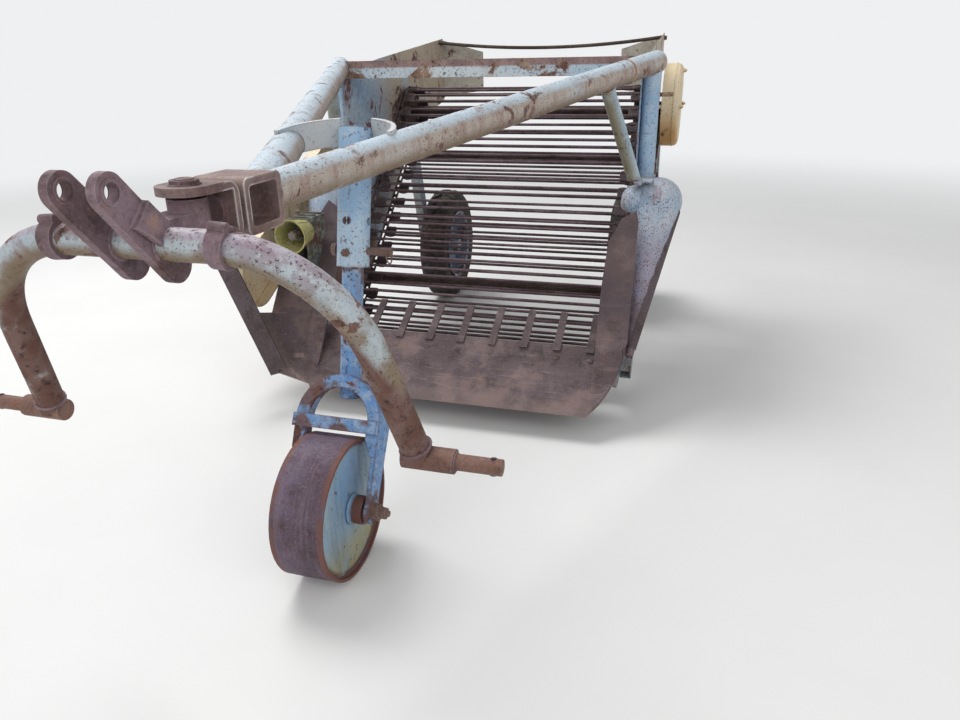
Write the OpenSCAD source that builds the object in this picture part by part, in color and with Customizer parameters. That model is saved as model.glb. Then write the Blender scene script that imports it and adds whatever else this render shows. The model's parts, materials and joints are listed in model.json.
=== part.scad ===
// Two-row elevator potato digger, standing on its depth wheel and its rear wheels.
// +Z is up, the hitch is at the front (-Y), the web delivers at the rear (+Y).
// Right is +X and left is -X, as seen by someone who stands in front and looks at the machine.
// Most places are written with Y = 0 at the front posts and X = 0 on the middle plane of the body;
// place() then moves the whole machine so that the origin is under the middle of its box.

/* [Main frame] */
// Half the distance between the front posts
post_x = 596; // [560:2:640]
// Radius of a front post
post_r = 30; // [24:1:36]
// Height of the post tops, on the axis of the main tubes
post_top_z = 1153; // [1100:1:1200]
// Height of the plate that a post stands on
post_foot_z = 771; // [740:1:800]
// Radius of a main tube
tube_r = 37.5; // [30:0.5:45]
// How far the middle of the A-frame head lies in front of the posts
head_reach = 1643; // [1620:1:1660]
// Height of the A-frame head
head_z = 934; // [900:1:980]
// Length of the boxed head
head_len = 118; // [110:1:130]
// Width of the boxed head
head_w = 104; // [96:1:112]
// Height of the boxed head
head_h = 98; // [92:1:108]
// Wall of the boxed head
head_wall = 14; // [12:1:18]
// Radius of a brace tube
brace_r = 23; // [18:1:28]
// Thickness of the top beam's lip and web
beam_t = 6; // [4:1:10]
// Height of the top beam's web
beam_h = 62; // [50:1:80]
// Width of the top beam's lip
beam_lip = 45; // [30:1:60]

/* [Swivel and yoke] */
// Distance from the head's middle to the upright swivel pin
swivel_gap = 141; // [138:1:150]
// Radius of the upright swivel pin
swivel_r = 15; // [12:0.5:17]
// Height of the yoke outside its flanges
yoke_h = 100; // [98:1:110]
// Thickness of the yoke's bar
yoke_t = 14; // [12:1:15]
// Width of the yoke's bar
yoke_w = 92; // [80:1:110]
// Radius of the lengthwise roll pin
roll_r = 17; // [14:0.5:18]
// Running clearance of a pin in its bore
run_fit = 0.05; // [0.02:0.01:0.1]
// Clearance between a moving piece and its neighbour
run_gap = 6; // [5:0.5:8]

/* [Hitch bow] */
// Radius of the bow's tube
bow_r = 25; // [20:0.5:30]
// Distance from the swivel pin to the bow's top, forwards
bow_top_gap = 122; // [112:1:140]
// Height of the bow's top on its axis
bow_top_z = 918; // [890:1:950]
// Distance from the swivel pin to the lower hitch pins, forwards
bow_foot_gap = 5; // [0:1:20]
// Height of the lower hitch pins
pin_z = 549; // [520:1:580]
// Half length of the bow's straight top
bow_flat = 128; // [100:1:150]
// Radius of the bow's shoulders
bow_bend_r = 215; // [180:1:240]
// How far each leg leans out
bow_lean = 10; // [4:1:14]
// Distance from the middle to the shoulder of a hitch pin
pin_shoulder_x = 440; // [420:1:460]
// Radius of a lower hitch pin
pin_r = 14; // [11:0.5:18]
// Length of a lower hitch pin
pin_len = 80; // [70:1:100]
// Radius of the linchpin hole
linch_r = 5.5; // [4:0.5:6.5]
// Radius of the foot bar that a leg stands on
foot_r = 21; // [18:1:25]
// Distance between the middles of the top-link plates
clevis_span = 76; // [70:1:90]
// Thickness of a top-link plate
clevis_t = 15; // [10:1:18]
// Radius of the top-link hole
clevis_hole_r = 13; // [9.5:0.5:16]
// Distance from the bow's top to the top-link hole, forwards
clevis_reach = 84; // [70:1:95]
// Distance from the bow's top to the top-link hole, upwards
clevis_rise = 87; // [75:1:100]

/* [Depth wheel] */
// Radius of the steel depth wheel
dw_r = 172; // [150:1:180]
// Width of the depth wheel's tread
dw_w = 130; // [120:1:150]
// How far the depth wheel's axle lies in front of the posts
dw_reach = 1440; // [1410:1:1470]
// Radius of the depth wheel's axle
dw_axle_r = 12; // [10:0.5:14]
// Thickness of a fork arm
fork_t = 12; // [8:1:14]
// Width of a fork arm at the axle
fork_w = 48; // [40:1:52]
// Width of a fork arm at the arch
fork_top_w = 68; // [60:1:74]
// Distance from the axle to the middle of the fork's arch
fork_leg = 205; // [200:1:215]
// How far the fork tilts back from upright
fork_tilt = 29; // [28:0.5:31]
// Radius of the shank
shank_r = 26; // [22:0.5:30]
// Radius of the sleeve
sleeve_r = 39; // [36:0.5:44]
// Rake of the shank and the sleeve
shank_rake = 13; // [12:0.5:14]
// Height of the sleeve's top
sleeve_top_z = 1022; // [1005:1:1035]
// Height of the sleeve's lower end
sleeve_low_z = 707; // [690:1:730]

/* [Body] */
// Thickness of a side wall
wall_t = 4; // [3:0.5:6]
// Rear end of the side walls
wall_rear = 1150; // [1120:5:1180]
// Height of the side walls at the rear
wall_rear_z = 1288; // [1250:2:1310]
// Length of the rear panels that turn in behind the side walls
deflector_len = 210; // [150:5:240]
// Angle between a rear panel and its side wall
deflector_turn = 75; // [65:1:85]
// How far the share reaches to each side
share_half = 600; // [580:2:610]
// Thickness of the share
share_t = 8; // [6:0.5:12]
// How far the share's cutting edge lies in front of the posts
share_reach = 642; // [620:1:660]
// Height of the share's cutting edge
share_z = 84; // [70:1:95]
// Slope of the share
share_slope = 28; // [25:0.5:31]
// Length of the share along its slope
share_len = 300; // [280:1:310]
// Radius of the share's upturned ends
share_bend = 80; // [60:1:95]
// Number of fingers behind the share
finger_count = 9; // [5:1:12]
// Width of a share finger
finger_w = 26; // [20:1:34]

/* [Rod web] */
// Distance from one pair of rods to the next
web_pitch = 80; // [79:0.5:81]
// Distance between the two rods of a pair
pair_gap = 34; // [30:1:38]
// Radius of a rod
rod_r = 5.5; // [4:0.5:6]
// Number of rod pairs round the web
web_pairs = 36; // [35:1:36]
// Rod pairs that would go round the head sprocket
head_pairs = 8; // [8:1:8]
// Rod pairs that would go round the tail roller
tail_pairs = 5; // [5:1:5]
// Slope of the web
web_slope = 45.8; // [45:0.1:46.5]
// Room between a link chain and its side wall
chain_gap = 14; // [12:1:18]
// Radius of the head shaft
head_shaft_r = 20; // [16:1:24]

/* [Rear wheels] */
// Radius of a rear tyre
tyre_r = 280; // [265:1:290]
// Width of a rear tyre
tyre_w = 130; // [110:1:136]
// Distance from the middle to the middle of a rear wheel
rear_x = 466; // [455:1:470]
// How far the rear wheels lie behind the posts
rear_y = 850; // [845:1:870]
// Radius of a rear stub axle
stub_r = 17.5; // [15:0.5:20]

/* [Hidden] */
$fn = 48;

// Gap left where one piece is welded on to a round one
weld_gap = 0.2;
// Gap between a chain or roller and what it rests on
seat_gap = 0.3;
// A cutter reaches this far past what it cuts
past = 1;
// The straight part of a flat outline lies this far inside its end circles
link_lap = 0.02;

head_y = -head_reach;
swivel_y = head_y - swivel_gap;
bow_top_y = swivel_y - bow_top_gap;
pin_y = swivel_y - bow_foot_gap;
bow_rise = norm([bow_top_y - pin_y, bow_top_z - pin_z]);
bow_tilt = atan2(pin_y - bow_top_y, bow_top_z - pin_z);
clevis_eye_r = 27;
clevis_y = bow_top_y - clevis_reach;
clevis_z = bow_top_z + clevis_rise;

// The side walls stand against the posts
wall_x = post_x - post_r - weld_gap;

// Half width of the fork between the insides of its arms
fork_in = dw_w / 2 + 32;
dw_y = -dw_reach;
dw_z = dw_r;

// The noses stand beside the posts, and the left chain case runs outside the left nose
nose_r = 85;
nose_top = [post_x + 54, -62, 690];
case_in = nose_top[0] + nose_r + run_gap;
case_w = 50;
case_out = case_in + case_w;
stay_t = 8;

// The reach of the whole machine, which sets the origin
front_reach = clevis_y - clevis_eye_r;
rear_reach = wall_rear + weld_gap + deflector_len * cos(deflector_turn) + wall_t * sin(deflector_turn);
left_reach = case_out + weld_gap + stay_t;
right_reach = nose_top[0] + nose_r;
x_mid = (right_reach - left_reach) / 2;
y_mid = (front_reach + rear_reach) / 2;

// The wings slope up from here to here
wing_low = [-share_reach + 94, share_z + 66];
wing_high = wing_low + [352, 526];
wing_slope = (wing_high[1] - wing_low[1]) / (wing_high[0] - wing_low[0]);
wing_t = 6;

// The web's loop: a tail roller, a head sprocket and two straight runs
head_pr = web_pitch * head_pairs / (2 * PI);
tail_pr = web_pitch * tail_pairs / (2 * PI);
loop_len = web_pitch * web_pairs;
run_guess = (loop_len - PI * (head_pr + tail_pr)) / 2;
taper = atan((head_pr - tail_pr) / run_guess);
run_len = (loop_len - PI * (head_pr + tail_pr) - 2 * (head_pr - tail_pr) * taper * PI / 180) / 2;
head_wrap = head_pr * PI * (180 + 2 * taper) / 180;
tail_wrap = tail_pr * PI * (180 - 2 * taper) / 180;
// The middle of the tail roller
tail_y = -share_reach + 373;
tail_z = share_z + 63;
tail_shaft_r = 14;
run_dir = [cos(web_slope), sin(web_slope)];
run_up = [-sin(web_slope), cos(web_slope)];
head_axis = [tail_y, tail_z] + run_len * run_dir - (head_pr - tail_pr) * run_up;
head_axis_y = head_axis[0];
head_axis_z = head_axis[1];
return_slope = web_slope - 2 * taper;

// A point of the loop, a distance s from the start of the top run: [y, z, direction]
function loop_at(s) =
    let (t = s - floor(s / loop_len) * loop_len)
    t < run_len
        ? let (p = [tail_y, tail_z] + tail_pr * run_up + t * run_dir) [p[0], p[1], web_slope]
    : t < run_len + head_wrap
        ? let (a = web_slope + 90 - (t - run_len) / head_pr * 180 / PI)
          [head_axis_y + head_pr * cos(a), head_axis_z + head_pr * sin(a), a - 90]
    : t < 2 * run_len + head_wrap
        ? let (
              u = t - run_len - head_wrap,
              a = return_slope - 90,
              p = head_axis + head_pr * [cos(a), sin(a)] - u * [cos(return_slope), sin(return_slope)]
          ) [p[0], p[1], return_slope + 180]
    : let (a = return_slope - 90 - (t - 2 * run_len - head_wrap) / tail_pr * 180 / PI)
      [tail_y + tail_pr * cos(a), tail_z + tail_pr * sin(a), a - 90];

// Moves the machine from its drawing frame to its own origin
module place() {
    translate([-x_mid, -y_mid, 0]) children();
}

// Draws the children on the right, or mirrored on the left
module side(right) {
    if (right) children();
    else mirror([1, 0, 0]) children();
}

// A round bar from p to q
module bar(p, q, r, grow = 0, roll = 0) {
    d = q - p;
    l = norm(d);
    translate(p)
        rotate([0, acos(d[2] / l), atan2(d[1], d[0])]) rotate([0, 0, roll])
            translate([0, 0, -grow]) cylinder(r = r, h = l + 2 * grow);
}

// A round bar along X from x0 to x1
module x_bar(x0, x1, y, z, r) {
    translate([x0, y, z]) rotate([0, 90, 0]) cylinder(r = r, h = x1 - x0);
}

// A flat outline round two circles
module link2d(p, r, q, s) {
    d = q - p;
    l = norm(d);
    a = atan2(d[1], d[0]);
    b = acos((r - s) / l);
    pr = r - link_lap;
    qr = s - link_lap;
    translate(p) circle(r);
    translate(q) circle(s);
    polygon([
        p + pr * [cos(a + b), sin(a + b)], p + pr * [cos(a - b), sin(a - b)],
        q + qr * [cos(a - b), sin(a - b)], q + qr * [cos(a + b), sin(a + b)]
    ]);
}

// Lays an outline drawn in Y and Z flat against X, from x0 to x1
module yz_plate(x0, x1) {
    translate([x0, 0, 0])
        rotate([90, 0, 90])
            linear_extrude(x1 - x0) children();
}

// The main tube's axis, on the right
tube_low = [-6, head_y + head_len / 2 - 36, head_z - 2];
tube_top = [post_x, 0, post_top_z];
tube_dir = (tube_top - tube_low) / norm(tube_top - tube_low);
// The tube runs on past the post
tube_over = 34;
function tube_at(y) = tube_low + (y - tube_low[1]) / tube_dir[1] * tube_dir;

module tube_solid(r) {
    bar(tube_low, tube_top + tube_over * tube_dir, r);
}

tube_wall = 5;
module main_tube(right) {
    color("#c3c5bb") place() side(right) difference() {
        intersection() {
            difference() {
                tube_solid(tube_r);
                tube_solid(tube_r - tube_wall);
            }
            translate([weld_gap / 2, -2000, 0]) cube([1000, 3000, 2000]);
        }
        translate([-head_w, head_y - head_len / 2 - 200, 0])
            cube([2 * head_w, 200 + head_len + weld_gap, 2000]);
    }
}

module head_block() {
    window_h = head_h - 2 * head_wall;
    window_l = head_len - 2 * head_wall;
    color("#8a6f66") place() difference() {
        translate([0, head_y, head_z])
            rotate([90, 0, 90])
                linear_extrude(head_w, center = true)
                    difference() {
                        rounded_box2d(head_len, head_h, 14);
                        rounded_box2d(window_l, window_h, 8);
                    }
        translate([0, head_y, head_z])
            rotate([90, 0, 0]) cylinder(r = roll_r + run_fit, h = head_len / 2 + past);
    }
}

// A rectangle with round corners, about the origin
module rounded_box2d(w, h, r) {
    square([w - 2 * r, h], center = true);
    square([w, h - 2 * r], center = true);
    for (x = [-1, 1], y = [-1, 1])
        translate([x * (w / 2 - r), y * (h / 2 - r)]) circle(r);
}

module post(right) {
    color("#9db9c9") place() side(right) difference() {
        translate([post_x, 0, post_foot_z]) difference() {
            cylinder(r = post_r, h = post_top_z - post_foot_z);
            translate([0, 0, -past]) cylinder(r = post_r - 5, h = post_top_z);
        }
        tube_solid(tube_r + weld_gap);
    }
}

// The brace leaves the main tube here and lands on the nose's top plate
brace_y = -331;
brace_foot = [566, -112, post_foot_z];

module brace(right) {
    top = tube_at(brace_y);
    d = top - brace_foot;
    color("#9fb3ae") place() side(right) difference() {
        bar(brace_foot - 30 * d / norm(d), top, brace_r, roll = 60);
        tube_solid(tube_r + weld_gap);
        translate([400, -300, post_foot_z - 200]) cube([300, 400, 200]);
    }
}

module top_beam() {
    half = post_x - post_r + 12;
    color("#9aa9ab") place() difference() {
        translate([-half, -post_r + 4, post_top_z + 24 - beam_h]) {
            cube([2 * half, beam_t, beam_h]);
            translate([0, 0, beam_h - beam_t]) cube([2 * half, beam_lip, beam_t]);
        }
        for (s = [0, 1]) side(s == 1) {
            tube_solid(tube_r + weld_gap);
            translate([post_x, 0, 0]) cylinder(r = post_r + weld_gap, h = 2000);
            yz_plate(wall_x - wall_t - weld_gap, wall_x + weld_gap) polygon(wall_low);
        }
    }
}

// The depth wheel's sleeve and shank share one raked axis in the middle plane
sleeve_y = -dw_reach + 293;
module raked(z) {
    translate([0, sleeve_y - (sleeve_top_z - z) * tan(shank_rake), z])
        rotate([-shank_rake, 0, 0]) children();
}
sleeve_len = (sleeve_top_z - sleeve_low_z) / cos(shank_rake);
leg_pin_z = sleeve_low_z + 38;
spare_hole_z = sleeve_low_z + 105;
leg_pin_r = 9;

module wheel_sleeve() {
    color("#93bfd8") place() difference() {
        raked(sleeve_low_z) cylinder(r = sleeve_r, h = sleeve_len);
        raked(sleeve_low_z) translate([0, 0, -past])
            cylinder(r = shank_r + weld_gap, h = sleeve_len + 2 * past);
        for (z = [leg_pin_z, spare_hole_z])
            raked(z) rotate([0, 90, 0])
                cylinder(r = leg_pin_r + weld_gap, h = 4 * sleeve_r, center = true);
    }
}

module arch_bracket() {
    arch_r = 142;
    arch_t = 12;
    arch_h = 64;
    arch_y = sleeve_y - 68;
    end_x = tube_at(arch_y)[0];
    color("#b9bdb2") place() difference() {
        translate([0, arch_y - 47, tube_at(arch_y)[2] - 26]) rotate([8, 0, 0]) {
            rotate_extrude(angle = 180)
                translate([arch_r - arch_t, 0]) square([arch_t, arch_h]);
        }
        for (s = [0, 1]) side(s == 1) {
            tube_solid(tube_r + weld_gap);
            translate([end_x + tube_r * 0.6, arch_y - 300, 0]) cube([400, 600, 2000]);
        }
        raked(sleeve_low_z) cylinder(r = sleeve_r + weld_gap, h = 2 * sleeve_len);
    }
}

// Height of the lowest point of the shank's axis, inside the fork's arch
shank_low_z = 393;

module wheel_fork() {
    arch_r = fork_in + fork_t / 2;
    shank_top_z = sleeve_low_z + 165;
    color("#5b93c4") place() difference() {
        union() {
            raked(shank_low_z) cylinder(r = shank_r, h = (shank_top_z - shank_low_z) / cos(shank_rake));
            translate([0, dw_y, dw_z]) rotate([-fork_tilt, 0, 0]) {
                translate([0, 0, fork_leg]) rotate([90, 0, 0])
                    rotate_extrude(angle = 180)
                        translate([fork_in, -fork_top_w / 2]) square([fork_t, fork_top_w]);
                for (s = [-1, 1]) {
                    yz_plate(s * arch_r - fork_t / 2, s * arch_r + fork_t / 2) polygon([
                        [-fork_w / 2, 0], [fork_w / 2, 0],
                        [fork_top_w / 2, fork_leg], [-fork_top_w / 2, fork_leg]
                    ]);
                    x_bar(s * arch_r - fork_t / 2, s * arch_r + fork_t / 2, 0, 0, 30);
                }
            }
            scraper_bar();
        }
        x_bar(-200, 200, dw_y, dw_z, dw_axle_r + weld_gap);
        for (z = [leg_pin_z, 572, 514])
            raked(z) rotate([0, 90, 0])
                cylinder(r = leg_pin_r + weld_gap, h = 4 * shank_r, center = true);
    }
}

// The flat bar across the front of the fork, over the wheel
module scraper_bar() {
    bar_t = 8;
    bar_h = 32;
    front = fork_top_w / 2 + 9;
    up = dw_r + run_gap + 2;
    translate([0, dw_y, dw_z]) rotate([-fork_tilt, 0, 0]) translate([0, 0, up]) {
        translate([-fork_in - fork_t, -front - bar_t, 0]) cube([2 * (fork_in + fork_t), bar_t, bar_h]);
        for (s = [-1, 1])
            translate([s > 0 ? fork_in + fork_t - bar_t : -fork_in - fork_t, -front, 0])
                cube([bar_t, front - fork_w / 2, bar_h]);
    }
}

module leg_pin() {
    color("#8a5a48") place() raked(leg_pin_z) rotate([0, 90, 0]) {
        cylinder(r = leg_pin_r, h = sleeve_r + 60);
        translate([0, 0, -sleeve_r - 6]) cylinder(r = leg_pin_r, h = sleeve_r + 7);
        translate([0, 0, -sleeve_r - 14]) cylinder(r = 15, h = 11);
    }
}

module depth_axle() {
    half = fork_in + fork_t;
    color("#7d6a60") place() {
        x_bar(-half - 16, half + 16, dw_y, dw_z, dw_axle_r);
        for (s = [-1, 1])
            translate([s * (half + 8 + weld_gap), dw_y, dw_z])
                rotate([45, 0, 0]) cube([16, 38, 38], center = true);
    }
}

module depth_wheel() {
    rim_t = 7;
    disc_t = 6;
    disc_in = 14;
    hub_r = 34;
    hub_half = fork_in - run_gap;
    color("#6f5a5e") place() translate([0, dw_y, dw_z]) rotate([0, 90, 0]) rotate_extrude() {
        difference() {
            translate([0, -dw_w / 2]) square([dw_r, dw_w]);
            translate([0, -dw_w / 2 - past]) square([dw_r - rim_t, dw_w + 2 * past]);
        }
        for (s = [-1, 1])
            translate([hub_r - past, s * (dw_w / 2 - disc_in) - disc_t / 2])
                square([dw_r - hub_r - rim_t + 2 * past, disc_t]);
        translate([dw_axle_r + run_fit, -hub_half]) square([hub_r - dw_axle_r - run_fit, 2 * hub_half]);
    }
}

// The yoke's back, and the U that its bar is bent to, seen from the side
yoke_back = head_y - head_len / 2 - run_gap;
yoke_bend = 26;
module yoke_side2d() {
    half = yoke_h / 2;
    difference() {
        union() {
            translate([swivel_y, -half]) square([yoke_back - yoke_bend - swivel_y, yoke_h]);
            translate([yoke_back - 2 * yoke_bend, -half + yoke_bend]) square([2 * yoke_bend, yoke_h - 2 * yoke_bend]);
            for (z = [-1, 1]) translate([yoke_back - yoke_bend, z * (half - yoke_bend)]) circle(yoke_bend);
        }
        translate([swivel_y - past, -half + yoke_t])
            square([yoke_back - yoke_t - swivel_y + past, yoke_h - 2 * yoke_t]);
    }
}

module yoke() {
    color("#8f776c") place() difference() {
        translate([0, 0, head_z]) {
            yz_plate(-yoke_w / 2, yoke_w / 2) yoke_side2d();
            for (z = [-1, 1]) translate([0, swivel_y, z * (yoke_h - yoke_t) / 2])
                cylinder(r = yoke_w / 2, h = yoke_t, center = true);
        }
        translate([0, swivel_y, 0]) cylinder(r = swivel_r + weld_gap, h = 2000);
        translate([0, head_y, head_z]) rotate([90, 0, 0]) cylinder(r = roll_r + weld_gap, h = head_len / 2 + 30);
    }
}

module roll_pin() {
    front = yoke_back - yoke_t;
    nut_y = head_y - head_len / 2 + head_wall + run_gap;
    nut_t = 20;
    color("#7c6258") place() translate([0, 0, head_z]) {
        translate([0, nut_y + nut_t + 6, 0]) rotate([90, 0, 0]) cylinder(r = roll_r, h = nut_y + nut_t + 7 - front);
        translate([0, nut_y + nut_t, 0]) rotate([90, 0, 0]) cylinder(r = 28, h = nut_t, $fn = 6);
        translate([0, front - weld_gap, 0]) rotate([90, 0, 0]) cylinder(r = 29, h = 13);
    }
}

module swivel_pin() {
    top = head_z + yoke_h / 2;
    color("#806860") place() translate([0, swivel_y, 0]) {
        translate([0, 0, head_z - yoke_h / 2 - 24]) cylinder(r = swivel_r, h = yoke_h + 26);
        translate([0, 0, top + weld_gap]) cylinder(r = 23, h = 8);
    }
}

// Places an outline drawn in the bow's own leaning plane
module in_bow_plane() {
    translate([0, pin_y, pin_z]) rotate([bow_tilt, 0, 0]) children();
}
bow_sweep = 90 - bow_lean;
bow_bend_z = bow_rise - bow_bend_r;
leg_top = [bow_flat + bow_bend_r * sin(bow_sweep), bow_bend_z + bow_bend_r * cos(bow_sweep)];
leg_foot_x = leg_top[0] + leg_top[1] * tan(bow_lean);

// The straight stretches end just inside the bends and are a hair thinner
bend_step = 0.05;
bend_lap = 2;
module bow_solid(r) {
    in_bow_plane() {
        x_bar(-bow_flat - bend_lap, bow_flat + bend_lap, 0, bow_rise, r - bend_step);
        for (s = [0, 1]) side(s == 1) {
            translate([bow_flat, 0, bow_bend_z]) rotate([90, 0, 0]) rotate([0, 0, 90 - bow_sweep])
                rotate_extrude(angle = bow_sweep) translate([bow_bend_r, 0]) circle(r);
            bar([leg_foot_x, 0, 0], [leg_top[0], 0, leg_top[1]], r - bend_step, bend_lap);
        }
    }
}

module bow_tube() {
    color("#b4b9ae") place() difference() {
        bow_solid(bow_r);
        for (s = [0, 1]) side(s == 1)
            x_bar(leg_foot_x - 2 * bow_r, pin_shoulder_x + 80, pin_y, pin_z, foot_r + weld_gap);
        translate([-500, pin_y - 200, pin_z - 400 - foot_r * 0.3]) cube([1000, 400, 400]);
    }
}

module hitch_pins() {
    color("#8d6b5c") place() for (s = [0, 1]) side(s == 1) difference() {
        union() {
            x_bar(leg_foot_x - bow_r - 2, pin_shoulder_x, pin_y, pin_z, foot_r);
            x_bar(pin_shoulder_x - past, pin_shoulder_x + pin_len, pin_y, pin_z, pin_r);
        }
        translate([pin_shoulder_x + pin_len - 15, pin_y, pin_z])
            cylinder(r = linch_r, h = 100, center = true);
    }
}

module top_link_clevis() {
    low = [bow_top_y + 22, bow_top_z - 34];
    color("#86665c") place() difference() {
        for (s = [-1, 1]) {
            x = s * clevis_span / 2;
            yz_plate(x - clevis_t / 2, x + clevis_t / 2) difference() {
                link2d([clevis_y, clevis_z], clevis_eye_r, low, 30);
                translate([clevis_y, clevis_z]) circle(clevis_hole_r);
            }
        }
        bow_solid(bow_r + weld_gap);
    }
}

// A clamp band sits at the start of each bend
module bow_bands() {
    band_t = 7;
    band_start = 1;
    band_sweep = 6.5;
    color("#7f655c") place() in_bow_plane() for (s = [0, 1]) side(s == 1)
        translate([bow_flat, 0, bow_bend_z]) rotate([90, 0, 0]) rotate([0, 0, 90 - band_start - band_sweep])
            rotate_extrude(angle = band_sweep) translate([bow_bend_r, 0]) difference() {
                union() {
                    circle(bow_r + band_t);
                    translate([bow_r + band_t + 1, 0]) circle(8);
                }
                circle(bow_r + weld_gap);
            }
}

module bow_tongue() {
    boss_h = yoke_h - 2 * yoke_t - 2 * run_gap;
    arm_w = clevis_span - clevis_t - 4;
    color("#8a7066") place() difference() {
        union() {
            translate([0, swivel_y, head_z]) cylinder(r = 32, h = boss_h, center = true);
            translate([-arm_w / 2, bow_top_y, head_z - 25]) cube([arm_w, bow_top_gap, 36]);
        }
        translate([0, swivel_y, 0]) cylinder(r = swivel_r + run_fit, h = 2000);
        bow_solid(bow_r + weld_gap);
        translate([-100, bow_top_y - 200, 0]) cube([200, 200, 2000]);
    }
}

// The side wall's outline: low front, along the nose, the post, the rear and the web's underside
wall_foot = [tail_y + 54, tail_z - 85];
wall_heel = head_axis + [140, -60];
wall_low = [
    [wing_low[0] + 28, wing_low[1]], [-60, 742], [-34, post_top_z - 8], [369, 1196], [wall_rear, wall_rear_z],
    [wall_rear, 985], wall_heel, wall_foot, [tail_y - 61, wall_foot[1]]
];

module side_wall(right) {
    color("#8fa6b0") place() side(right) difference() {
        yz_plate(wall_x - wall_t, wall_x) polygon(wall_low);
        x_bar(0, 2000, head_axis_y, head_axis_z, head_shaft_r + 3);
        x_bar(0, 2000, tail_y, tail_z, tail_shaft_r + weld_gap);
        tube_solid(tube_r + weld_gap);
    }
}

module deflector(right) {
    color("#9a9b92") place() side(right)
        translate([wall_x - wall_t, wall_rear + weld_gap, 0]) rotate([0, 0, deflector_turn])
            rotate([90, 0, 90]) linear_extrude(wall_t)
                polygon([[0, 1010], [deflector_len, 1030], [deflector_len, 1222], [0, wall_rear_z - 8]]);
}

// A thin rod sags between the walls, near their rear ends
tie_sag = 34;
module rear_tie_rod() {
    half = wall_x - wall_t - weld_gap;
    bend_r = (half * half + tie_sag * tie_sag) / (2 * tie_sag);
    sweep = 2 * asin(half / bend_r) + 1;
    color("#7a5f58") place() intersection() {
        translate([0, wall_rear - 60, wall_rear_z - 20 - tie_sag + bend_r])
            rotate([90, 0, 0]) rotate([0, 0, -90 - sweep / 2])
                rotate_extrude(angle = sweep, $fn = 720) translate([bend_r, 0]) circle(8, $fn = 24);
        translate([-half, 0, 0]) cube([2 * half, 2000, 2000]);
    }
}

// The vine divider: a half cone with a domed top, open behind
nose_wall = 4;
nose_tip = [612, -430, 232];
nose_d = nose_top - nose_tip;
nose_len = norm(nose_d);
nose_tip_r = 12;
// Half of the nose's outline: the cone, then the dome that is tangent to it
module nose_half2d(grow) {
    intersection() {
        union() {
            polygon([
                [0, -grow], [nose_tip_r + grow, -grow],
                [nose_r * cos(nose_flare) + grow, nose_len - nose_r * sin(nose_flare)], [0, nose_len]
            ]);
            translate([0, nose_len]) circle(nose_r + grow);
        }
        translate([0, -10]) square([200, nose_len + 200]);
    }
}
nose_flare = asin((nose_r - nose_tip_r) / nose_len);
module nose_body(grow) {
    translate(nose_tip) rotate([0, acos(nose_d[2] / nose_len), atan2(nose_d[1], nose_d[0])])
        rotate_extrude() nose_half2d(grow);
}
module nose_shell() {
    translate(nose_tip) rotate([0, acos(nose_d[2] / nose_len), atan2(nose_d[1], nose_d[0])])
        rotate_extrude() difference() {
            nose_half2d(0);
            nose_half2d(-nose_wall);
        }
}

module nose(right) {
    top_z = post_foot_z - nose_wall;
    color("#a7bcc2") place() side(right) {
        difference() {
            nose_shell();
            translate([wall_x + weld_gap - 1000, -1000, 0]) cube([1000, 2000, 2000]);
            translate([0, nose_top[1] + 30, 0]) cube([1000, 1000, 2000]);
            translate([0, -1000, top_z - weld_gap]) cube([nose_top[0] - 20, 2000, 200]);
        }
        translate([wall_x + weld_gap, -150, top_z - weld_gap])
            cube([nose_top[0] - 20 - wall_x - weld_gap, 190, nose_wall]);
    }
}

// The wing closes the corner between the share, the wall and the nose
wing_in = share_half - 103;
wing_side = share_half + 4;
// The wing's plate is drawn this far down past its corner, until the share cuts it off
wing_dip = 30;
// How far the wings reach to the side, on the right and on the left
wing_out = [wing_side, max(nose_top[0] + nose_r, wing_side + 20)];
module wing(right) {
    d = wing_high - wing_low;
    l = norm(d);
    out = right ? wing_out[0] : wing_out[1];
    color("#7c6160") place() side(right) difference() {
        translate([0, wing_low[0], wing_low[1]]) rotate([atan2(d[1], d[0]), 0, 0])
            linear_extrude(wing_t) polygon([
                [wing_in + 6, -wing_dip], [share_half - share_t, -wing_dip], [share_half - share_t - 2, 138],
                [wing_side, 160], [out, 165], [out - 6, right ? l - 40 : 330],
                [wing_side - 16, l], [wing_side - 64, l - 30], [wing_in + 6, l - 120], [wing_in, l * 0.55]
            ]);
        yz_plate(wall_x - wall_t - weld_gap, wall_x + weld_gap) polygon(wall_low);
        nose_body(weld_gap);
        share_cut();
    }
}

// Moves children to the share's own plane: X across, Y up the slope, Z out of the plate
module on_share() {
    translate([0, -share_reach, share_z]) rotate([share_slope, 0, 0]) children();
}
edge_t = 1.5;
bevel_len = 30;
module share() {
    flat = share_half - share_bend;
    color("#775f5c") place() difference() {
        on_share() rotate([90, 0, 0]) mirror([0, 0, 1]) linear_extrude(share_len) {
            translate([-flat, 0]) square([2 * flat, share_t]);
            for (s = [0, 1]) mirror([s, 0]) translate([flat, share_bend]) intersection() {
                difference() {
                    circle(share_bend);
                    circle(share_bend - share_t);
                }
                translate([0, -share_bend]) square([share_bend, share_bend]);
            }
        }
        // The cutting edge is ground to a bevel
        on_share() translate([-flat, 0, edge_t]) rotate([atan((share_t - edge_t) / bevel_len), 0, 0])
            translate([0, -bevel_len, 0]) cube([2 * flat, 4 * bevel_len, 40]);
        for (s = [0, 1]) side(s == 1) {
            corner_cut();
            yz_plate(wall_x - wall_t - weld_gap, wall_x + weld_gap) polygon(wall_low);
            nose_body(weld_gap);
        }
    }
}

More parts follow.
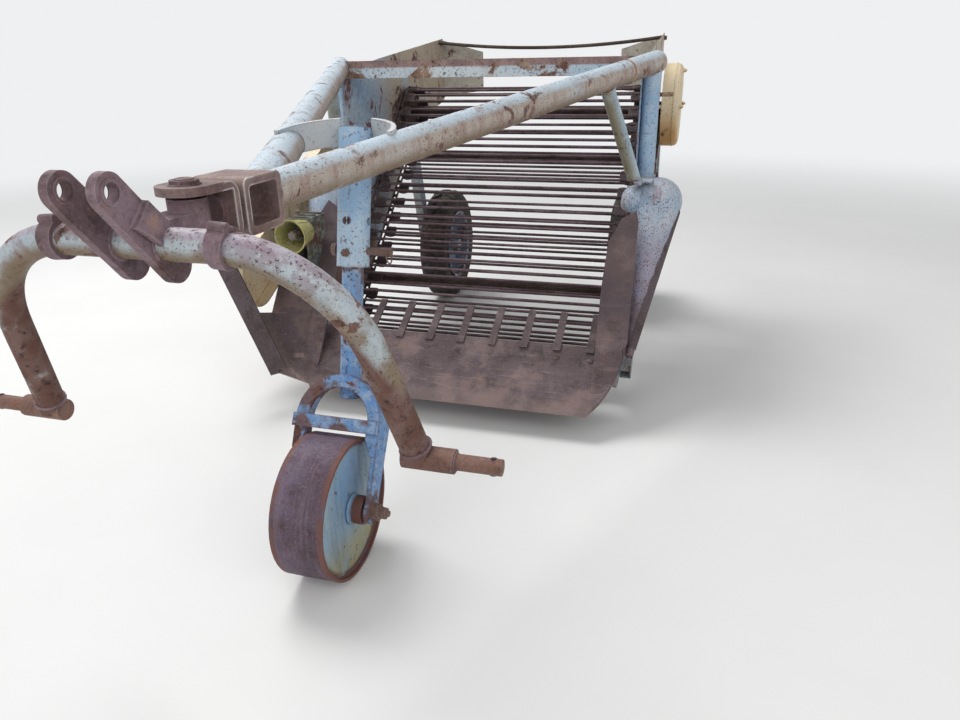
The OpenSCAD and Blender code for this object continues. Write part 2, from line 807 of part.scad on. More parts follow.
// The share's corner is cut off along one plane, square to the middle of its bend
corner_mid = 149;
corner_turn = 25.4;
module corner_cut() {
    on_share() translate([share_half - share_bend + share_bend * sin(45), corner_mid, share_bend * (1 - cos(45))])
        rotate([0, -45, 0]) rotate([0, 0, -corner_turn]) translate([0, -300, -150]) cube([300, 450, 300]);
}

// What the share takes from a wing: its own sheet, and all that would lie under it
module share_cut() {
    flat = share_half - share_bend;
    inner_r = share_bend - share_t - weld_gap;
    on_share() rotate([90, 0, 0]) mirror([0, 0, 1]) translate([0, 0, -60]) linear_extrude(share_len + 120)
        difference() {
            translate([0, -200]) square([share_half + weld_gap, 200 + share_bend]);
            translate([-past, share_t + weld_gap]) square([flat + past, share_bend]);
            translate([flat, share_bend]) circle(inner_r);
        }
}

finger_len = 150;
module share_fingers() {
    span = 2 * (share_half - share_bend) - 90;
    color("#80675f") place() on_share() for (i = [0 : finger_count - 1])
        translate([-span / 2 + i * span / (finger_count - 1) - finger_w / 2, share_len - 34, share_t + weld_gap])
            cube([finger_w, finger_len + 34, 8]);
}

module share_beam() {
    color("#6f5b58") place() on_share() translate([-wall_x + wall_t + 2, share_len - 96, -62 - weld_gap])
        difference() {
            cube([2 * (wall_x - wall_t - 2), 60, 62]);
            translate([-past, 6, 6]) cube([3 * wall_x, 48, 50]);
        }
}

// The web's two link chains are one outline; each carrier between them is a rod pair on end plates
link_t = 14;
link_w = 22;
link_over = 5;
plate_w = 44;
plate_t = 2 * rod_r + 2;
chain_x = wall_x - wall_t - chain_gap - link_w / 2;

// Draws the children at each carrier, in its own frame: X across, Y along the loop, Z outwards
module at_carriers() {
    for (i = [0 : web_pairs - 1]) {
        a = loop_at(i * web_pitch);
        b = loop_at((i + 1) * web_pitch);
        translate([0, (a[0] + b[0]) / 2, (a[1] + b[1]) / 2]) rotate([atan2(b[1] - a[1], b[0] - a[0]), 0, 0])
            children();
    }
}

// The chain from joint i to joint j, in one straight piece
module chain_piece2d(i, j) {
    a = loop_at(i * web_pitch);
    b = loop_at(j * web_pitch);
    d = [b[0] - a[0], b[1] - a[1]];
    translate([(a[0] + b[0]) / 2, (a[1] + b[1]) / 2]) rotate(atan2(d[1], d[0]))
        square([norm(d) + link_over, link_t], center = true);
}
// The joints at which the two straight runs begin and end
top_last = floor(run_len / web_pitch);
back_first = ceil((run_len + head_wrap) / web_pitch);
back_last = floor((2 * run_len + head_wrap) / web_pitch);
module chain2d() {
    chain_piece2d(0, top_last);
    chain_piece2d(back_first, back_last);
    for (i = [top_last : back_first - 1]) chain_piece2d(i, i + 1);
    for (i = [back_last : web_pairs - 1]) chain_piece2d(i, i + 1);
}

module web() {
    plate_x = chain_x - link_w / 2 - plate_w;
    color("#5b4642") place() {
        for (s = [-1, 1])
            yz_plate(s * chain_x - link_w / 2, s * chain_x + link_w / 2) chain2d();
        at_carriers() {
            for (s = [0, 1]) mirror([s, 0, 0])
                translate([plate_x, -pair_gap / 2 - 8, -plate_t / 2])
                    cube([plate_w + past, pair_gap + 16, plate_t]);
            for (y = [-1, 1])
                translate([-plate_x - 6, y * pair_gap / 2, 0]) rotate([0, 90, 0])
                    cylinder(r = rod_r, h = 2 * plate_x + 12, $fn = 6);
        }
    }
}

// A star wheel with one hollow for each link of the chain
module star(pr, teeth, phase, x) {
    translate([x, 0, 0]) rotate([0, 90, 0]) difference() {
        cylinder(r = pr - 2, h = 14, center = true);
        for (i = [0 : teeth - 1]) rotate([0, 0, phase + i * 360 / teeth]) {
            translate([pr, 0, 0]) cylinder(r = 14, h = 40, center = true);
            rotate([0, 0, 180 / teeth]) translate([pr * cos(180 / teeth) - 9, -60, -20])
                cube([60, 120, 40]);
        }
    }
}
// Angle from the end of the top run to the next chain joint, round the head
head_phase = (ceil(run_len / web_pitch) * web_pitch - run_len) / head_pr * 180 / PI;

module head_shaft() {
    color("#6a5650") place() translate([0, head_axis_y, head_axis_z]) {
        x_bar(-case_in - 28, drum_in + 60, 0, 0, head_shaft_r);
        for (s = [-1, 1])
            star(head_pr, head_pairs, web_slope - head_phase, s * chain_x);
    }
}

module tail_roller() {
    half = wall_x + 8;
    color("#66544f") place() {
        x_bar(-half, half, tail_y, tail_z, tail_shaft_r);
        for (s = [-1, 1]) x_bar(s > 0 ? chain_x - 11 : -chain_x - 11, s > 0 ? chain_x + 11 : -chain_x + 11,
            tail_y, tail_z, tail_pr * cos(180 / tail_pairs) - link_t / 2 - seat_gap);
    }
}

// Carrying rollers under the top run and over the return run
roller_r = 32;
roller_places = [0.3, 0.62];
module web_rollers() {
    color("#66544f") place() for (t = roller_places) {
        under = loop_at(t * run_len);
        top = [under[0], under[1]] - (roller_r + link_t / 2 + seat_gap) * run_up;
        for (s = [-1, 1]) {
            x_bar(s > 0 ? chain_x - 12 : -chain_x - 12, s > 0 ? chain_x + 12 : -chain_x + 12, top[0], top[1], roller_r);
            x_bar(s > 0 ? chain_x - 24 : -wall_x + wall_t + weld_gap, s > 0 ? wall_x - wall_t - weld_gap : -chain_x + 24,
                top[0], top[1], 10);
        }
    }
}

module shaft_bearings() {
    color("#6d6a68") place() for (s = [0, 1]) side(s == 1) translate([wall_x + weld_gap, head_axis_y, head_axis_z])
        difference() {
            union() {
                rotate([0, 90, 0]) cylinder(r = 52, h = 12);
                rotate([0, 90, 0]) cylinder(r = 38, h = 30);
            }
            translate([-past, 0, 0]) rotate([0, 90, 0]) cylinder(r = head_shaft_r + weld_gap, h = 60);
        }
}

rail_w = 40;

// The drum guard over the head shaft's right end, on three stand-offs
drum_in = wall_x + rail_w + run_gap;
drum_w = 72;
drum_r = 165;
drum_round = 22;
// The drum's middle lies this far above the shaft
drum_rise = 22;
sheet_t = 4;
// Half of the drum's outline, with a rounded outer rim
module drum_half2d(thick) {
    square([drum_r - drum_round, drum_w - thick]);
    square([drum_r - thick, drum_w - drum_round]);
    translate([drum_r - drum_round, drum_w - drum_round]) circle(drum_round - thick, $fn = 12);
}
module drive_guard_right() {
    color("#cdb182") place() translate([0, head_axis_y, head_axis_z + drum_rise]) rotate([0, 90, 0]) {
        translate([0, 0, drum_in]) rotate_extrude() difference() {
            drum_half2d(0);
            drum_half2d(sheet_t);
            translate([0, -past]) square([drum_r - sheet_t, 2 * past]);
        }
        for (a = [90, 180, 270]) rotate([0, 0, a]) translate([drum_r - 9, 0, wall_x + weld_gap])
            cylinder(r = 8, h = drum_in + 30 - wall_x - weld_gap);
    }
}

// The gearbox stands on the left wing, in front of the nose
gear_y = -share_reach + 292;
gear_z = 600;
gear_size = [88, 120, 90];
pto_x = -wall_x - 24;
// Height of the wing's upper face
function wing_z(y) = wing_low[1] + (y - wing_low[0]) * wing_slope + wing_t * norm([1, wing_slope]);
module gearbox() {
    front = gear_y - gear_size[1] / 2 + 4;
    rear = gear_y + gear_size[1] / 2 - 4;
    low = gear_z - gear_size[2] / 2;
    color("#59666a") place() {
        for (x = [wall_x + 12, wall_x + gear_size[0] - 16]) yz_plate(-x - 10, -x) polygon([
            [front, low + 4], [rear, low + 4], [rear, wing_z(rear) + weld_gap], [front, wing_z(front) + weld_gap]
        ]);
        translate([-wall_x - weld_gap - gear_size[0], gear_y - gear_size[1] / 2, gear_z - gear_size[2] / 2])
            cube(gear_size);
        x_bar(-case_in - 24, -wall_x - gear_size[0], gear_y, gear_z, 16);
    }
}

pto_len = 90;
pto_r = 17.4;
pto_face = gear_y - gear_size[1] / 2;
module pto_shaft() {
    color("#8b8984") place() translate([pto_x, pto_face, gear_z]) rotate([90, 0, 0])
        cylinder(r = pto_r, h = pto_len);
}

module pto_guard() {
    h = pto_len + 12;
    color("#8f8a35") place() translate([pto_x, pto_face, gear_z]) rotate([90, 0, 0]) rotate_extrude()
        polygon([[38, 0], [42, 0], [60, h], [56, h]]);
}

// The left chain case runs outside the nose, from the gearbox's cross shaft to the head shaft
case_low = [gear_y - 150, gear_z - 160];
case_low_r = 110;
case_high_r = 120;
module chain_guard_left() {
    color("#cfae6a") place() {
        difference() {
            yz_plate(-case_out, -case_in) link2d(case_low, case_low_r, head_axis, case_high_r);
            yz_plate(-case_out + sheet_t, -case_in + past)
                link2d(case_low, case_low_r - sheet_t, head_axis, case_high_r - sheet_t);
        }
        for (t = case_mounts) {
            p = case_low + t * (head_axis - case_low);
            x_bar(-case_out + 1, -wall_x - weld_gap, p[0], p[1], 14);
        }
    }
}
// Where the two stand-offs are, as shares of the way from the case's low end to its high end
case_mounts = [0.64, 0.8];

// The left side coulter: a flat bar from the share's corner, stayed to the chain case
coulter_w = 74;
coulter_low = [-share_half, -share_reach - 30, share_z + 56];
coulter_high = [-case_out + 29, -share_reach - 48, 575];
module side_coulter_left() {
    d = coulter_high - coulter_low;
    tilt = atan2(-d[0], norm([d[1], d[2]]));
    color("#5f4f50") place() {
        difference() {
            translate(coulter_low) rotate([atan2(-d[1], d[2]), 0, 0]) rotate([0, -tilt, 0])
                translate([-coulter_w / 2, 0, 0]) cube([coulter_w, 8, norm(d)]);
            on_share() translate([-share_half - weld_gap, -50, -20])
                cube([2 * share_half, share_len, share_bend + 20 + weld_gap]);
        }
        yz_plate(-case_out - weld_gap - stay_t, -case_out - weld_gap)
            link2d([coulter_high[1] + 8, coulter_high[2] - 30], 22, case_low + [-40, 40], 26);
    }
}

// The rails follow the web's underside and carry the rear legs
rail_h = 60;
rail_drop = 6;
rail_path = [wall_foot - [0, rail_drop], wall_heel - [0, rail_drop]];
module rail(right) {
    d = rail_path[1] - rail_path[0];
    color("#7d8f97") place() side(right)
        translate([wall_x + weld_gap, rail_path[0][0], rail_path[0][1]])
            rotate([atan2(d[1], d[0]), 0, 0]) translate([0, 0, 0]) difference() {
                cube([rail_w, norm(d), rail_h]);
                translate([4, -past, 4]) cube([rail_w - 8, norm(d) + 2 * past, rail_h - 8]);
            }
}

// Tubes across the machine under both rails
cross_r = 24;
cross_places = [0.3, 0.85];
module cross_tubes() {
    d = rail_path[1] - rail_path[0];
    out = [d[1], -d[0]] / norm(d);
    half = wall_x + rail_w;
    color("#7a8a90") place() for (t = cross_places) {
        p = rail_path[0] + t * d + (cross_r + weld_gap) * out;
        translate([-half, p[0], p[1]]) rotate([0, 90, 0]) difference() {
            cylinder(r = cross_r, h = 2 * half);
            translate([0, 0, -past]) cylinder(r = cross_r - 4, h = 2 * half + 2 * past);
        }
    }
}

module wheel_leg(right) {
    leg_w = 60;
    color("#7f9098") place() side(right) {
        difference() {
            union() {
                yz_plate(wall_x + weld_gap, wall_x + rail_w) link2d([rear_y, tyre_r], leg_w / 2, [rear_y - 180, 900], leg_w / 2);
                x_bar(wall_x + weld_gap, wall_x + rail_w, rear_y, tyre_r, 44);
            }
            rail_cut();
        }
        x_bar(rear_x - 60, wall_x + 1, rear_y, tyre_r, stub_r);
    }
}
module rail_cut() {
    d = rail_path[1] - rail_path[0];
    translate([wall_x - 10, rail_path[0][0], rail_path[0][1]])
        rotate([atan2(d[1], d[0]), 0, 0]) translate([0, -50, -weld_gap]) cube([200, norm(d) + 100, 400]);
}

rim_r = 165;
// The tyre's half width at its bead and at its tread
bead = tyre_w / 2 - 12;
tread = tyre_w / 2 - 28;
module tyre(right) {
    color("#3b3836") place() side(right) translate([rear_x, rear_y, tyre_r]) rotate([0, 90, 0])
        rotate_extrude() polygon([
            [rim_r + seat_gap, -bead], [tyre_r - 42, -tyre_w / 2], [tyre_r, -tread], [tyre_r, tread],
            [tyre_r - 42, tyre_w / 2], [rim_r + seat_gap, bead]
        ]);
}

module rim(right) {
    color("#6f93b5") place() side(right) translate([rear_x, rear_y, tyre_r]) rotate([0, 90, 0])
        rotate_extrude() {
            translate([rim_r - 8, -tyre_w / 2 + 6]) square([8, tyre_w - 12]);
            translate([40, -5]) square([rim_r - 44, 8]);
            translate([stub_r + run_fit, -55]) square([46 - stub_r - run_fit, 110]);
        }
}

head_block();
main_tube(false);  // main_tube_left
main_tube(true);  // main_tube_right
post(false);  // post_left
post(true);  // post_right
brace(false);  // brace_left
brace(true);  // brace_right
top_beam();
arch_bracket();
wheel_sleeve();
wheel_fork();
leg_pin();
depth_axle();
side_wall(false);  // side_wall_left
side_wall(true);  // side_wall_right
deflector(false);  // deflector_left
deflector(true);  // deflector_right
rear_tie_rod();
nose(false);  // nose_left
nose(true);  // nose_right
wing(false);  // wing_left
wing(true);  // wing_right
share();
share_fingers();
share_beam();
web();
head_shaft();
tail_roller();
web_rollers();
shaft_bearings();
chain_guard_left();
drive_guard_right();
side_coulter_left();
gearbox();
pto_shaft();
pto_guard();
rail(false);  // rail_left
rail(true);  // rail_right
cross_tubes();
wheel_leg(false);  // wheel_leg_left
wheel_leg(true);  // wheel_leg_right
depth_wheel();
tyre(false);  // tyre_left
rim(false);  // rim_left
tyre(true);  // tyre_right
rim(true);  // rim_right
yoke();
roll_pin();
swivel_pin();
bow_tube();
hitch_pins();
top_link_clevis();
bow_bands();
bow_tongue();
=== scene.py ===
import json
import random
from math import asin, atan, cos, pi, radians, sin, sqrt, tan

import bmesh
import bpy
from mathutils import Matrix, Vector


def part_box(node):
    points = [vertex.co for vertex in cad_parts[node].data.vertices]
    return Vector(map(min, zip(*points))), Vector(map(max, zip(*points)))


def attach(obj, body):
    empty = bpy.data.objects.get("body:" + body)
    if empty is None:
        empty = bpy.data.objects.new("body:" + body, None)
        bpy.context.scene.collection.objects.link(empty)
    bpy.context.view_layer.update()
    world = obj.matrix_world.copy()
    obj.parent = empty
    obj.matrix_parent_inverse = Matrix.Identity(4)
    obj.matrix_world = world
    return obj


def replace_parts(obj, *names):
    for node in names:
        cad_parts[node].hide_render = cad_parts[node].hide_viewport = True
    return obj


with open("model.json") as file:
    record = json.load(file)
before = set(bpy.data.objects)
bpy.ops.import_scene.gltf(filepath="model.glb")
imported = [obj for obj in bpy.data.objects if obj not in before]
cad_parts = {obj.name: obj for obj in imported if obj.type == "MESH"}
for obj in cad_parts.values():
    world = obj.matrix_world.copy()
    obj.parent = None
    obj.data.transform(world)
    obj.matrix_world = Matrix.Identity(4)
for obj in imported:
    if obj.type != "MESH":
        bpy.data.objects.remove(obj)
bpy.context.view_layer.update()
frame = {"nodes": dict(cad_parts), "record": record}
NODES = frame["nodes"]
MM = 0.001

# The drawing frame of the part's source: X 0 in the middle plane, Y 0 at the posts, the ground at Z 0
LEFT_POST, RIGHT_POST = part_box("post_left"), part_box("post_right")
MID_X = (LEFT_POST[0][0] + RIGHT_POST[1][0]) / 2
POST_Y = (RIGHT_POST[0][1] + RIGHT_POST[1][1]) / 2


def row_y(y):
    """A Y of the drawing frame, in millimetres, in the row frame."""
    return POST_Y + y * MM


def at(x, y, z):
    """A place in the drawing frame, in millimetres, as a point of the row frame."""
    return vec(MID_X + x * MM, row_y(y), z * MM)


def vec(*values):
    return Vector(values)


RIGHT, BACK, UP = vec(1, 0, 0), vec(0, 1, 0), vec(0, 0, 1)


def rgb(digits):
    """A colour of six hex digits as linear RGBA."""
    out = []
    for k in (0, 2, 4):
        c = int(digits[k:k + 2], 16) / 255
        out.append(c / 12.92 if c <= 0.04045 else ((c + 0.055) / 1.055) ** 2.4)
    return (*out, 1.0)


# Camera

CAMERA_AT = vec(0.811405, -2.377229, 1.150038)
CAMERA_FORWARD = vec(-0.2639, 0.8894, -0.3732)
CAMERA_UP = vec(-0.0905, 0.3625, 0.9278)
SENSOR, LENS = 36, 27.334


def make_camera():
    cam = bpy.data.cameras.new("Camera")
    cam.sensor_fit = "HORIZONTAL"
    cam.sensor_width = SENSOR
    cam.lens = LENS
    obj = bpy.data.objects.new("Camera", cam)
    back = -CAMERA_FORWARD.normalized()
    right = CAMERA_UP.cross(back).normalized()
    turn = Matrix((right, back.cross(right), back)).transposed()
    obj.matrix_world = Matrix.Translation(CAMERA_AT) @ turn.to_4x4()
    bpy.context.collection.objects.link(obj)
    bpy.context.scene.camera = obj


# Light and floor

FLOOR_COLOURS = (0.80, 0.80, 0.79, 1), (0.78, 0.78, 0.77, 1)
FLOOR_HALF = 60
FLOOR_NEAR, FLOOR_FAR = 2.6, 9.0
WORLD_COLOUR = (0.86, 0.87, 0.88, 1)
WORLD_STRENGTH = 0.50
# name, place, aim, size in metres, watts
LAMPS = (
    ("Key", (-2.6, 1.2, 5.4), (0, 0, 0.6), 3.0, 252),
    ("Fill", (4.2, -3.4, 3.0), (0, 0, 0.6), 3.5, 78),
    ("Front", (-1.5, -5.0, 3.2), (0, -0.5, 0.5), 3.5, 75),
)


def seen_ray(tree):
    """1 for rays from the camera and for what metal or glass shows."""
    path = tree.nodes.new("ShaderNodeLightPath")
    most = path.outputs["Is Camera Ray"]
    for name in ("Is Glossy Ray", "Is Transmission Ray"):
        node = tree.nodes.new("ShaderNodeMath")
        node.operation = "MAXIMUM"
        tree.links.new(most, node.inputs[0])
        tree.links.new(path.outputs[name], node.inputs[1])
        most = node.outputs[0]
    return most


def make_light():
    world = bpy.data.worlds.new("World")
    bpy.context.scene.world = world
    world.use_nodes = True
    tree = world.node_tree
    sky = tree.nodes["Background"]
    seen = tree.nodes.new("ShaderNodeBackground")
    for node, strength in ((sky, WORLD_STRENGTH), (seen, 1)):
        node.inputs["Color"].default_value = WORLD_COLOUR
        node.inputs["Strength"].default_value = strength
    mix = tree.nodes.new("ShaderNodeMixShader")
    tree.links.new(seen_ray(tree), mix.inputs["Fac"])
    tree.links.new(sky.outputs[0], mix.inputs[1])
    tree.links.new(seen.outputs[0], mix.inputs[2])
    tree.links.new(mix.outputs[0], tree.nodes["World Output"].inputs["Surface"])
    for name, place, aim, size, power in LAMPS:
        lamp = bpy.data.lights.new(name, "AREA")
        lamp.size = size
        lamp.energy = power
        obj = bpy.data.objects.new(name, lamp)
        obj.location = place
        obj.rotation_euler = (Vector(aim) - Vector(place)).to_track_quat("-Z", "Y").to_euler()
        bpy.context.collection.objects.link(obj)


def make_floor():
    """A pale floor that runs into the backdrop's tone further out."""
    mesh = bpy.data.meshes.new("Floor")
    h = FLOOR_HALF
    mesh.from_pydata([(-h, -h, 0), (h, -h, 0), (h, h, 0), (-h, h, 0)], [], [(0, 1, 2, 3)])
    obj = bpy.data.objects.new("Floor", mesh)
    bpy.context.collection.objects.link(obj)
    m = Mat("Floor")
    m.colour = m.mix(m.noise(1.5, 3, 0.3, 0.7), *FLOOR_COLOURS)
    m.finish(0.9, specular=0.1)
    away = m.add("ShaderNodeVectorMath", {0: m.place}, operation="LENGTH").outputs["Value"]
    seen = m.times(m.step(away, FLOOR_NEAR, FLOOR_FAR), seen_ray(m.tree))
    glow = m.add("ShaderNodeEmission", {"Color": WORLD_COLOUR, "Strength": 1.0})
    both = m.add("ShaderNodeMixShader", {0: seen, 1: m.shader.outputs[0], 2: glow.outputs[0]})
    m.tree.links.new(both.outputs[0], m.tree.nodes["Material Output"].inputs["Surface"])
    mesh.materials.append(m.material)


# Materials


class Mat:
    """One material's nodes. All patterns lie in object space, so they stay on their part as it moves."""

    def __init__(self, name):
        self.material = bpy.data.materials.new(name)
        self.material.use_nodes = True
        self.tree = self.material.node_tree
        self.shader = self.tree.nodes["Principled BSDF"]
        coord = self.add("ShaderNodeTexCoord")
        self.place = coord.outputs["Object"]
        self.axis = self.add("ShaderNodeSeparateXYZ", {"Vector": self.place}).outputs
        self.facing = self.add("ShaderNodeSeparateXYZ", {"Vector": coord.outputs["Normal"]}).outputs
        self.colour = None

    def set(self, node, key, value):
        """Links a socket to an input, or gives it a value; a colour may be six hex digits."""
        if isinstance(value, bpy.types.NodeSocket):
            self.tree.links.new(value, node.inputs[key])
        else:
            node.inputs[key].default_value = rgb(value) if isinstance(value, str) else value

    def add(self, kind, inputs=None, **settings):
        node = self.tree.nodes.new(kind)
        for key, value in settings.items():
            setattr(node, key, value)
        for key, value in (inputs or {}).items():
            self.set(node, key, value)
        return node

    def stretched(self, *scale):
        """The place with each axis scaled, for patterns that run one way."""
        return self.add("ShaderNodeMapping", {"Vector": self.place, "Scale": scale}).outputs[0]

    def moved(self, *shift):
        return self.add("ShaderNodeMapping", {"Vector": self.place, "Location": shift}).outputs[0]

    def step(self, value, low, high):
        """0 below low, 1 above high, smooth in between; low may be the greater."""
        inputs = {"Value": value, "From Min": low, "From Max": high}
        return self.add("ShaderNodeMapRange", inputs, interpolation_type="SMOOTHSTEP", clamp=True).outputs[0]

    def noise(self, scale, detail=4, low=0.4, high=0.6, place=None, rough=0.6, warp=0.0):
        inputs = {"Vector": place or self.place, "Scale": scale, "Detail": detail, "Roughness": rough,
                  "Distortion": warp}
        return self.step(self.add("ShaderNodeTexNoise", inputs).outputs[0], low, high)

    def calc(self, operation, a, b=0.0):
        return self.add("ShaderNodeMath", {0: a, 1: b}, operation=operation).outputs[0]

    def times(self, a, b):
        return self.calc("MULTIPLY", a, b)

    def most(self, a, b):
        return self.calc("MAXIMUM", a, b)

    def inverse(self, value):
        return self.calc("SUBTRACT", 1.0, value)

    def mix(self, factor, a, b):
        return self.add("ShaderNodeMix", {0: factor, 6: a, 7: b}, data_type="RGBA").outputs[2]

    def lay(self, mask, tone, share=None):
        """Lays a tone over the colour so far, where the mask is 1."""
        if share is not None:
            mask = self.times(mask, share)
        self.colour = self.mix(mask, self.colour, tone)

    def blend(self, factor, a, b):
        """A number between a and b."""
        return self.add("ShaderNodeMapRange", {"Value": factor, "To Min": a, "To Max": b}).outputs[0]

    def edge(self, radius, low=0.02, high=0.10):
        """1 on the sharp edges of the shape."""
        soft = self.add("ShaderNodeBevel", {"Radius": radius}, samples=4).outputs[0]
        hard = self.add("ShaderNodeNewGeometry").outputs["Normal"]
        dot = self.add("ShaderNodeVectorMath", {0: soft, 1: hard}, operation="DOT_PRODUCT").outputs["Value"]
        return self.step(self.inverse(dot), low, high)

    def near(self, point, radius, soft=0.5):
        """1 near a point, falling to 0 at radius; noise makes its outline ragged."""
        away = self.add("ShaderNodeVectorMath", {0: self.place, 1: point}, operation="DISTANCE")
        inputs = {"Vector": self.place, "Scale": 2.2 / radius, "Detail": 5, "Roughness": 0.65}
        wave = self.calc("SUBTRACT", self.add("ShaderNodeTexNoise", inputs).outputs[0], 0.5)
        ragged = self.calc("ADD", away.outputs["Value"], self.times(wave, radius * 1.4))
        return self.step(ragged, radius, radius * (1 - soft))

    def down(self):
        """1 on faces that look down, by the shape's own normals."""
        return self.step(self.facing["Z"], 0.15, -0.75)

    def up(self):
        return self.step(self.facing["Z"], 0.35, 0.9)

    def finish(self, rough, height=None, strength=0.0, distance=0.0, metal=0.0, specular=0.3):
        """Joins the colour so far, the roughness and the bumps to the shader."""
        for key, value in (("Base Color", self.colour), ("Roughness", rough), ("Metallic", metal),
                           ("Specular IOR Level", specular)):
            self.set(self.shader, key, value)
        if height:
            inputs = {"Height": height, "Strength": strength, "Distance": distance}
            self.set(self.shader, "Normal", self.add("ShaderNodeBump", inputs).outputs[0])
        return self.material


RUST_DARK, RUST_BROWN, RUST_PURPLE, RUST_ORANGE = "382828", "62443a", "70585e", "8e5836"


def paint(name, coat, faded, top=None, under=None, bare=RUST_PURPLE, wear=0.5, chips=0.5, edges=0.5,
          streaks=0.3, chip_scale=120, patch_scale=8.5, wash=None, extra=None):
    """Old paint. wear is how much is worn to smooth rust in patches, chips how many small rust specks it has,
    edges how bare its edges are. top is a painted highlight, a paler tone on faces that look up; under is
    painted shade, a darker tone on faces that look down. wash(mat) tones the coat, and extra(mat) returns a
    mask with more wear."""
    m = Mat(name)
    m.colour = m.mix(m.noise(4.5, 5, 0.35, 0.65), coat, faded)
    m.lay(m.noise(42, 6, 0.40, 0.72), "cececa", 0.35)
    if wash:
        wash(m)
    # Painted highlight on faces that look up (top), and painted shade on faces that look down (under)
    if top:
        m.lay(m.times(m.up(), m.noise(9, 6, 0.28, 0.60)), top)
    if under:
        m.lay(m.times(m.down(), m.noise(8, 6, 0.22, 0.50)), under)
    runs = m.times(m.noise(26, 6, 0.50, 0.72, place=m.stretched(1, 1, 0.16)), m.noise(6, 4, 0.42, 0.62))
    m.lay(runs, "8c6854", streaks)

    less = 0.22 * wear
    patches = m.noise(patch_scale, 9, 0.66 - less, 0.70 - less, rough=0.66, warp=0.5)
    if extra:
        patches = m.most(patches, m.times(extra(m), m.noise(10, 8, 0.34, 0.42, rough=0.66)))
    specks = m.noise(chip_scale, 5, 0.640 - 0.10 * chips, 0.668 - 0.10 * chips)
    specks = m.times(specks, m.blend(m.noise(6, 3, 0.36, 0.60), 0.25, 1.0))
    flecks = m.times(m.noise(chip_scale * 2.6, 3, 0.66 - 0.08 * chips, 0.70 - 0.08 * chips), 0.7)
    rims = m.times(m.edge(0.004), m.noise(18, 6, 0.56 - 0.25 * edges, 0.62 - 0.25 * edges))
    worn = m.most(patches, rims)
    rusty = m.mix(m.noise(20, 6, 0.35, 0.65), bare, RUST_BROWN)
    rusty = m.mix(m.noise(70, 6, 0.52, 0.70), rusty, RUST_DARK)
    lip = m.times(m.inverse(worn), m.noise(patch_scale, 9, 0.62 - less, 0.67 - less, rough=0.66, warp=0.5))
    m.lay(lip, "9e8478", 0.30)
    m.lay(worn, rusty)
    m.lay(m.times(flecks, m.inverse(worn)), "705a54")
    m.lay(specks, "4e3a36", 0.85)

    gone = m.most(worn, specks)
    height = m.calc("SUBTRACT", m.times(m.noise(110, 5, 0.3, 0.7), 0.22), gone)
    return m.finish(m.blend(gone, 0.5, 0.84), height, 0.35, 0.0009, specular=0.35)


def rust(name, base=RUST_BROWN, light=RUST_PURPLE, dark=RUST_DARK, rub="a48e84", shine=0.0, orange=0.25,
         wash=None):
    """Bare rusted steel. shine makes it smoother and metallic, orange is how much fresh rust it has."""
    m = Mat(name)
    m.colour = m.mix(m.noise(6, 6, 0.35, 0.65), base, light)
    m.lay(m.noise(17, 8, 0.48, 0.68, rough=0.7), dark, 0.75)
    m.lay(m.noise(26, 7, 0.54, 0.72), RUST_ORANGE, orange)
    m.lay(m.noise(150, 4, 0.50, 0.66), dark, 0.30)
    m.lay(m.noise(190, 3, 0.56, 0.68, place=m.moved(3, 1, 2)), rub, 0.22)
    m.lay(m.times(m.edge(0.003), m.noise(12, 5)), rub, 0.5)
    if wash:
        wash(m)
    grain = m.noise(140, 6, 0.3, 0.7)
    height = m.calc("ADD", m.times(grain, 0.5), m.noise(38, 7, 0.35, 0.7))
    rough = m.blend(grain, 0.62 - 0.2 * shine, 0.88 - 0.25 * shine)
    return m.finish(rough, height, 0.40, 0.0008, metal=0.3 * shine, specular=0.25)


def rubber(name):
    m = Mat(name)
    m.colour = m.mix(m.noise(9, 5, 0.35, 0.65), "2c2b2a", "403d39")
    m.lay(m.noise(20, 6, 0.5, 0.7), "6c6050", 0.5)
    return m.finish(0.85, m.noise(140, 5, 0.3, 0.7), 0.3, 0.0006)


def bow_wear(m):
    """The bow's legs are bare towards their feet, and higher up on their inner sides."""
    side = m.calc("SIGN", m.calc("SUBTRACT", m.axis["X"], MID_X))
    outer = m.times(m.times(m.facing["X"], side), 0.085)
    return m.step(m.calc("ADD", m.axis["Z"], outer), 0.800, 0.745)


def bow_wash(m):
    """Rosy on top, with darker soft spots, and brown low on the legs and on faces that look down, where the
    brown is painted shade.
    """
    m.lay(m.times(m.step(m.up(), 0.0, 0.5), m.noise(8, 7, 0.34, 0.52)), "a898a6", 0.75)
    m.lay(m.noise(24, 7, 0.50, 0.60, rough=0.66), "86707a", 0.62)
    # Brown on the low legs, and painted shade on every face that looks down
    below = m.most(m.down(), m.step(m.axis["Z"], 0.885, 0.80))
    m.lay(m.times(below, m.noise(12, 7, 0.36, 0.56)), "80705c")


def tube_wash(m):
    """The tubes are cream with brown runs on their sides; the blue-white on their tops, the top tone of their
    paint, is a painted highlight.
    """
    side = m.inverse(m.step(m.up(), 0.05, 0.75))
    m.lay(m.times(side, m.noise(5, 5, 0.26, 0.50)), "aea49a")
    m.lay(m.times(m.noise(34, 6, 0.44, 0.66, place=m.stretched(1, 1, 0.12)), side), "92746c", 0.65)


def beam_wash(m):
    """The beam's upper lip has lost its paint."""
    bald = m.mix(m.noise(30, 5), "7a6262", "927c78")
    m.lay(m.times(m.step(m.axis["Z"], 1.148, 1.156), m.noise(14, 6, 0.22, 0.34)), bald)


def wall_wash(m):
    """The walls are blue at the front, worn grey-beige further back and brown low down."""
    m.lay(m.times(m.step(m.axis["Y"], row_y(150), row_y(520)), m.noise(3.5, 6, 0.24, 0.44)), "ac9e8a")
    m.lay(m.times(m.step(m.axis["Z"], 0.75, 0.45), m.noise(7, 7, 0.34, 0.52)), "765c54")


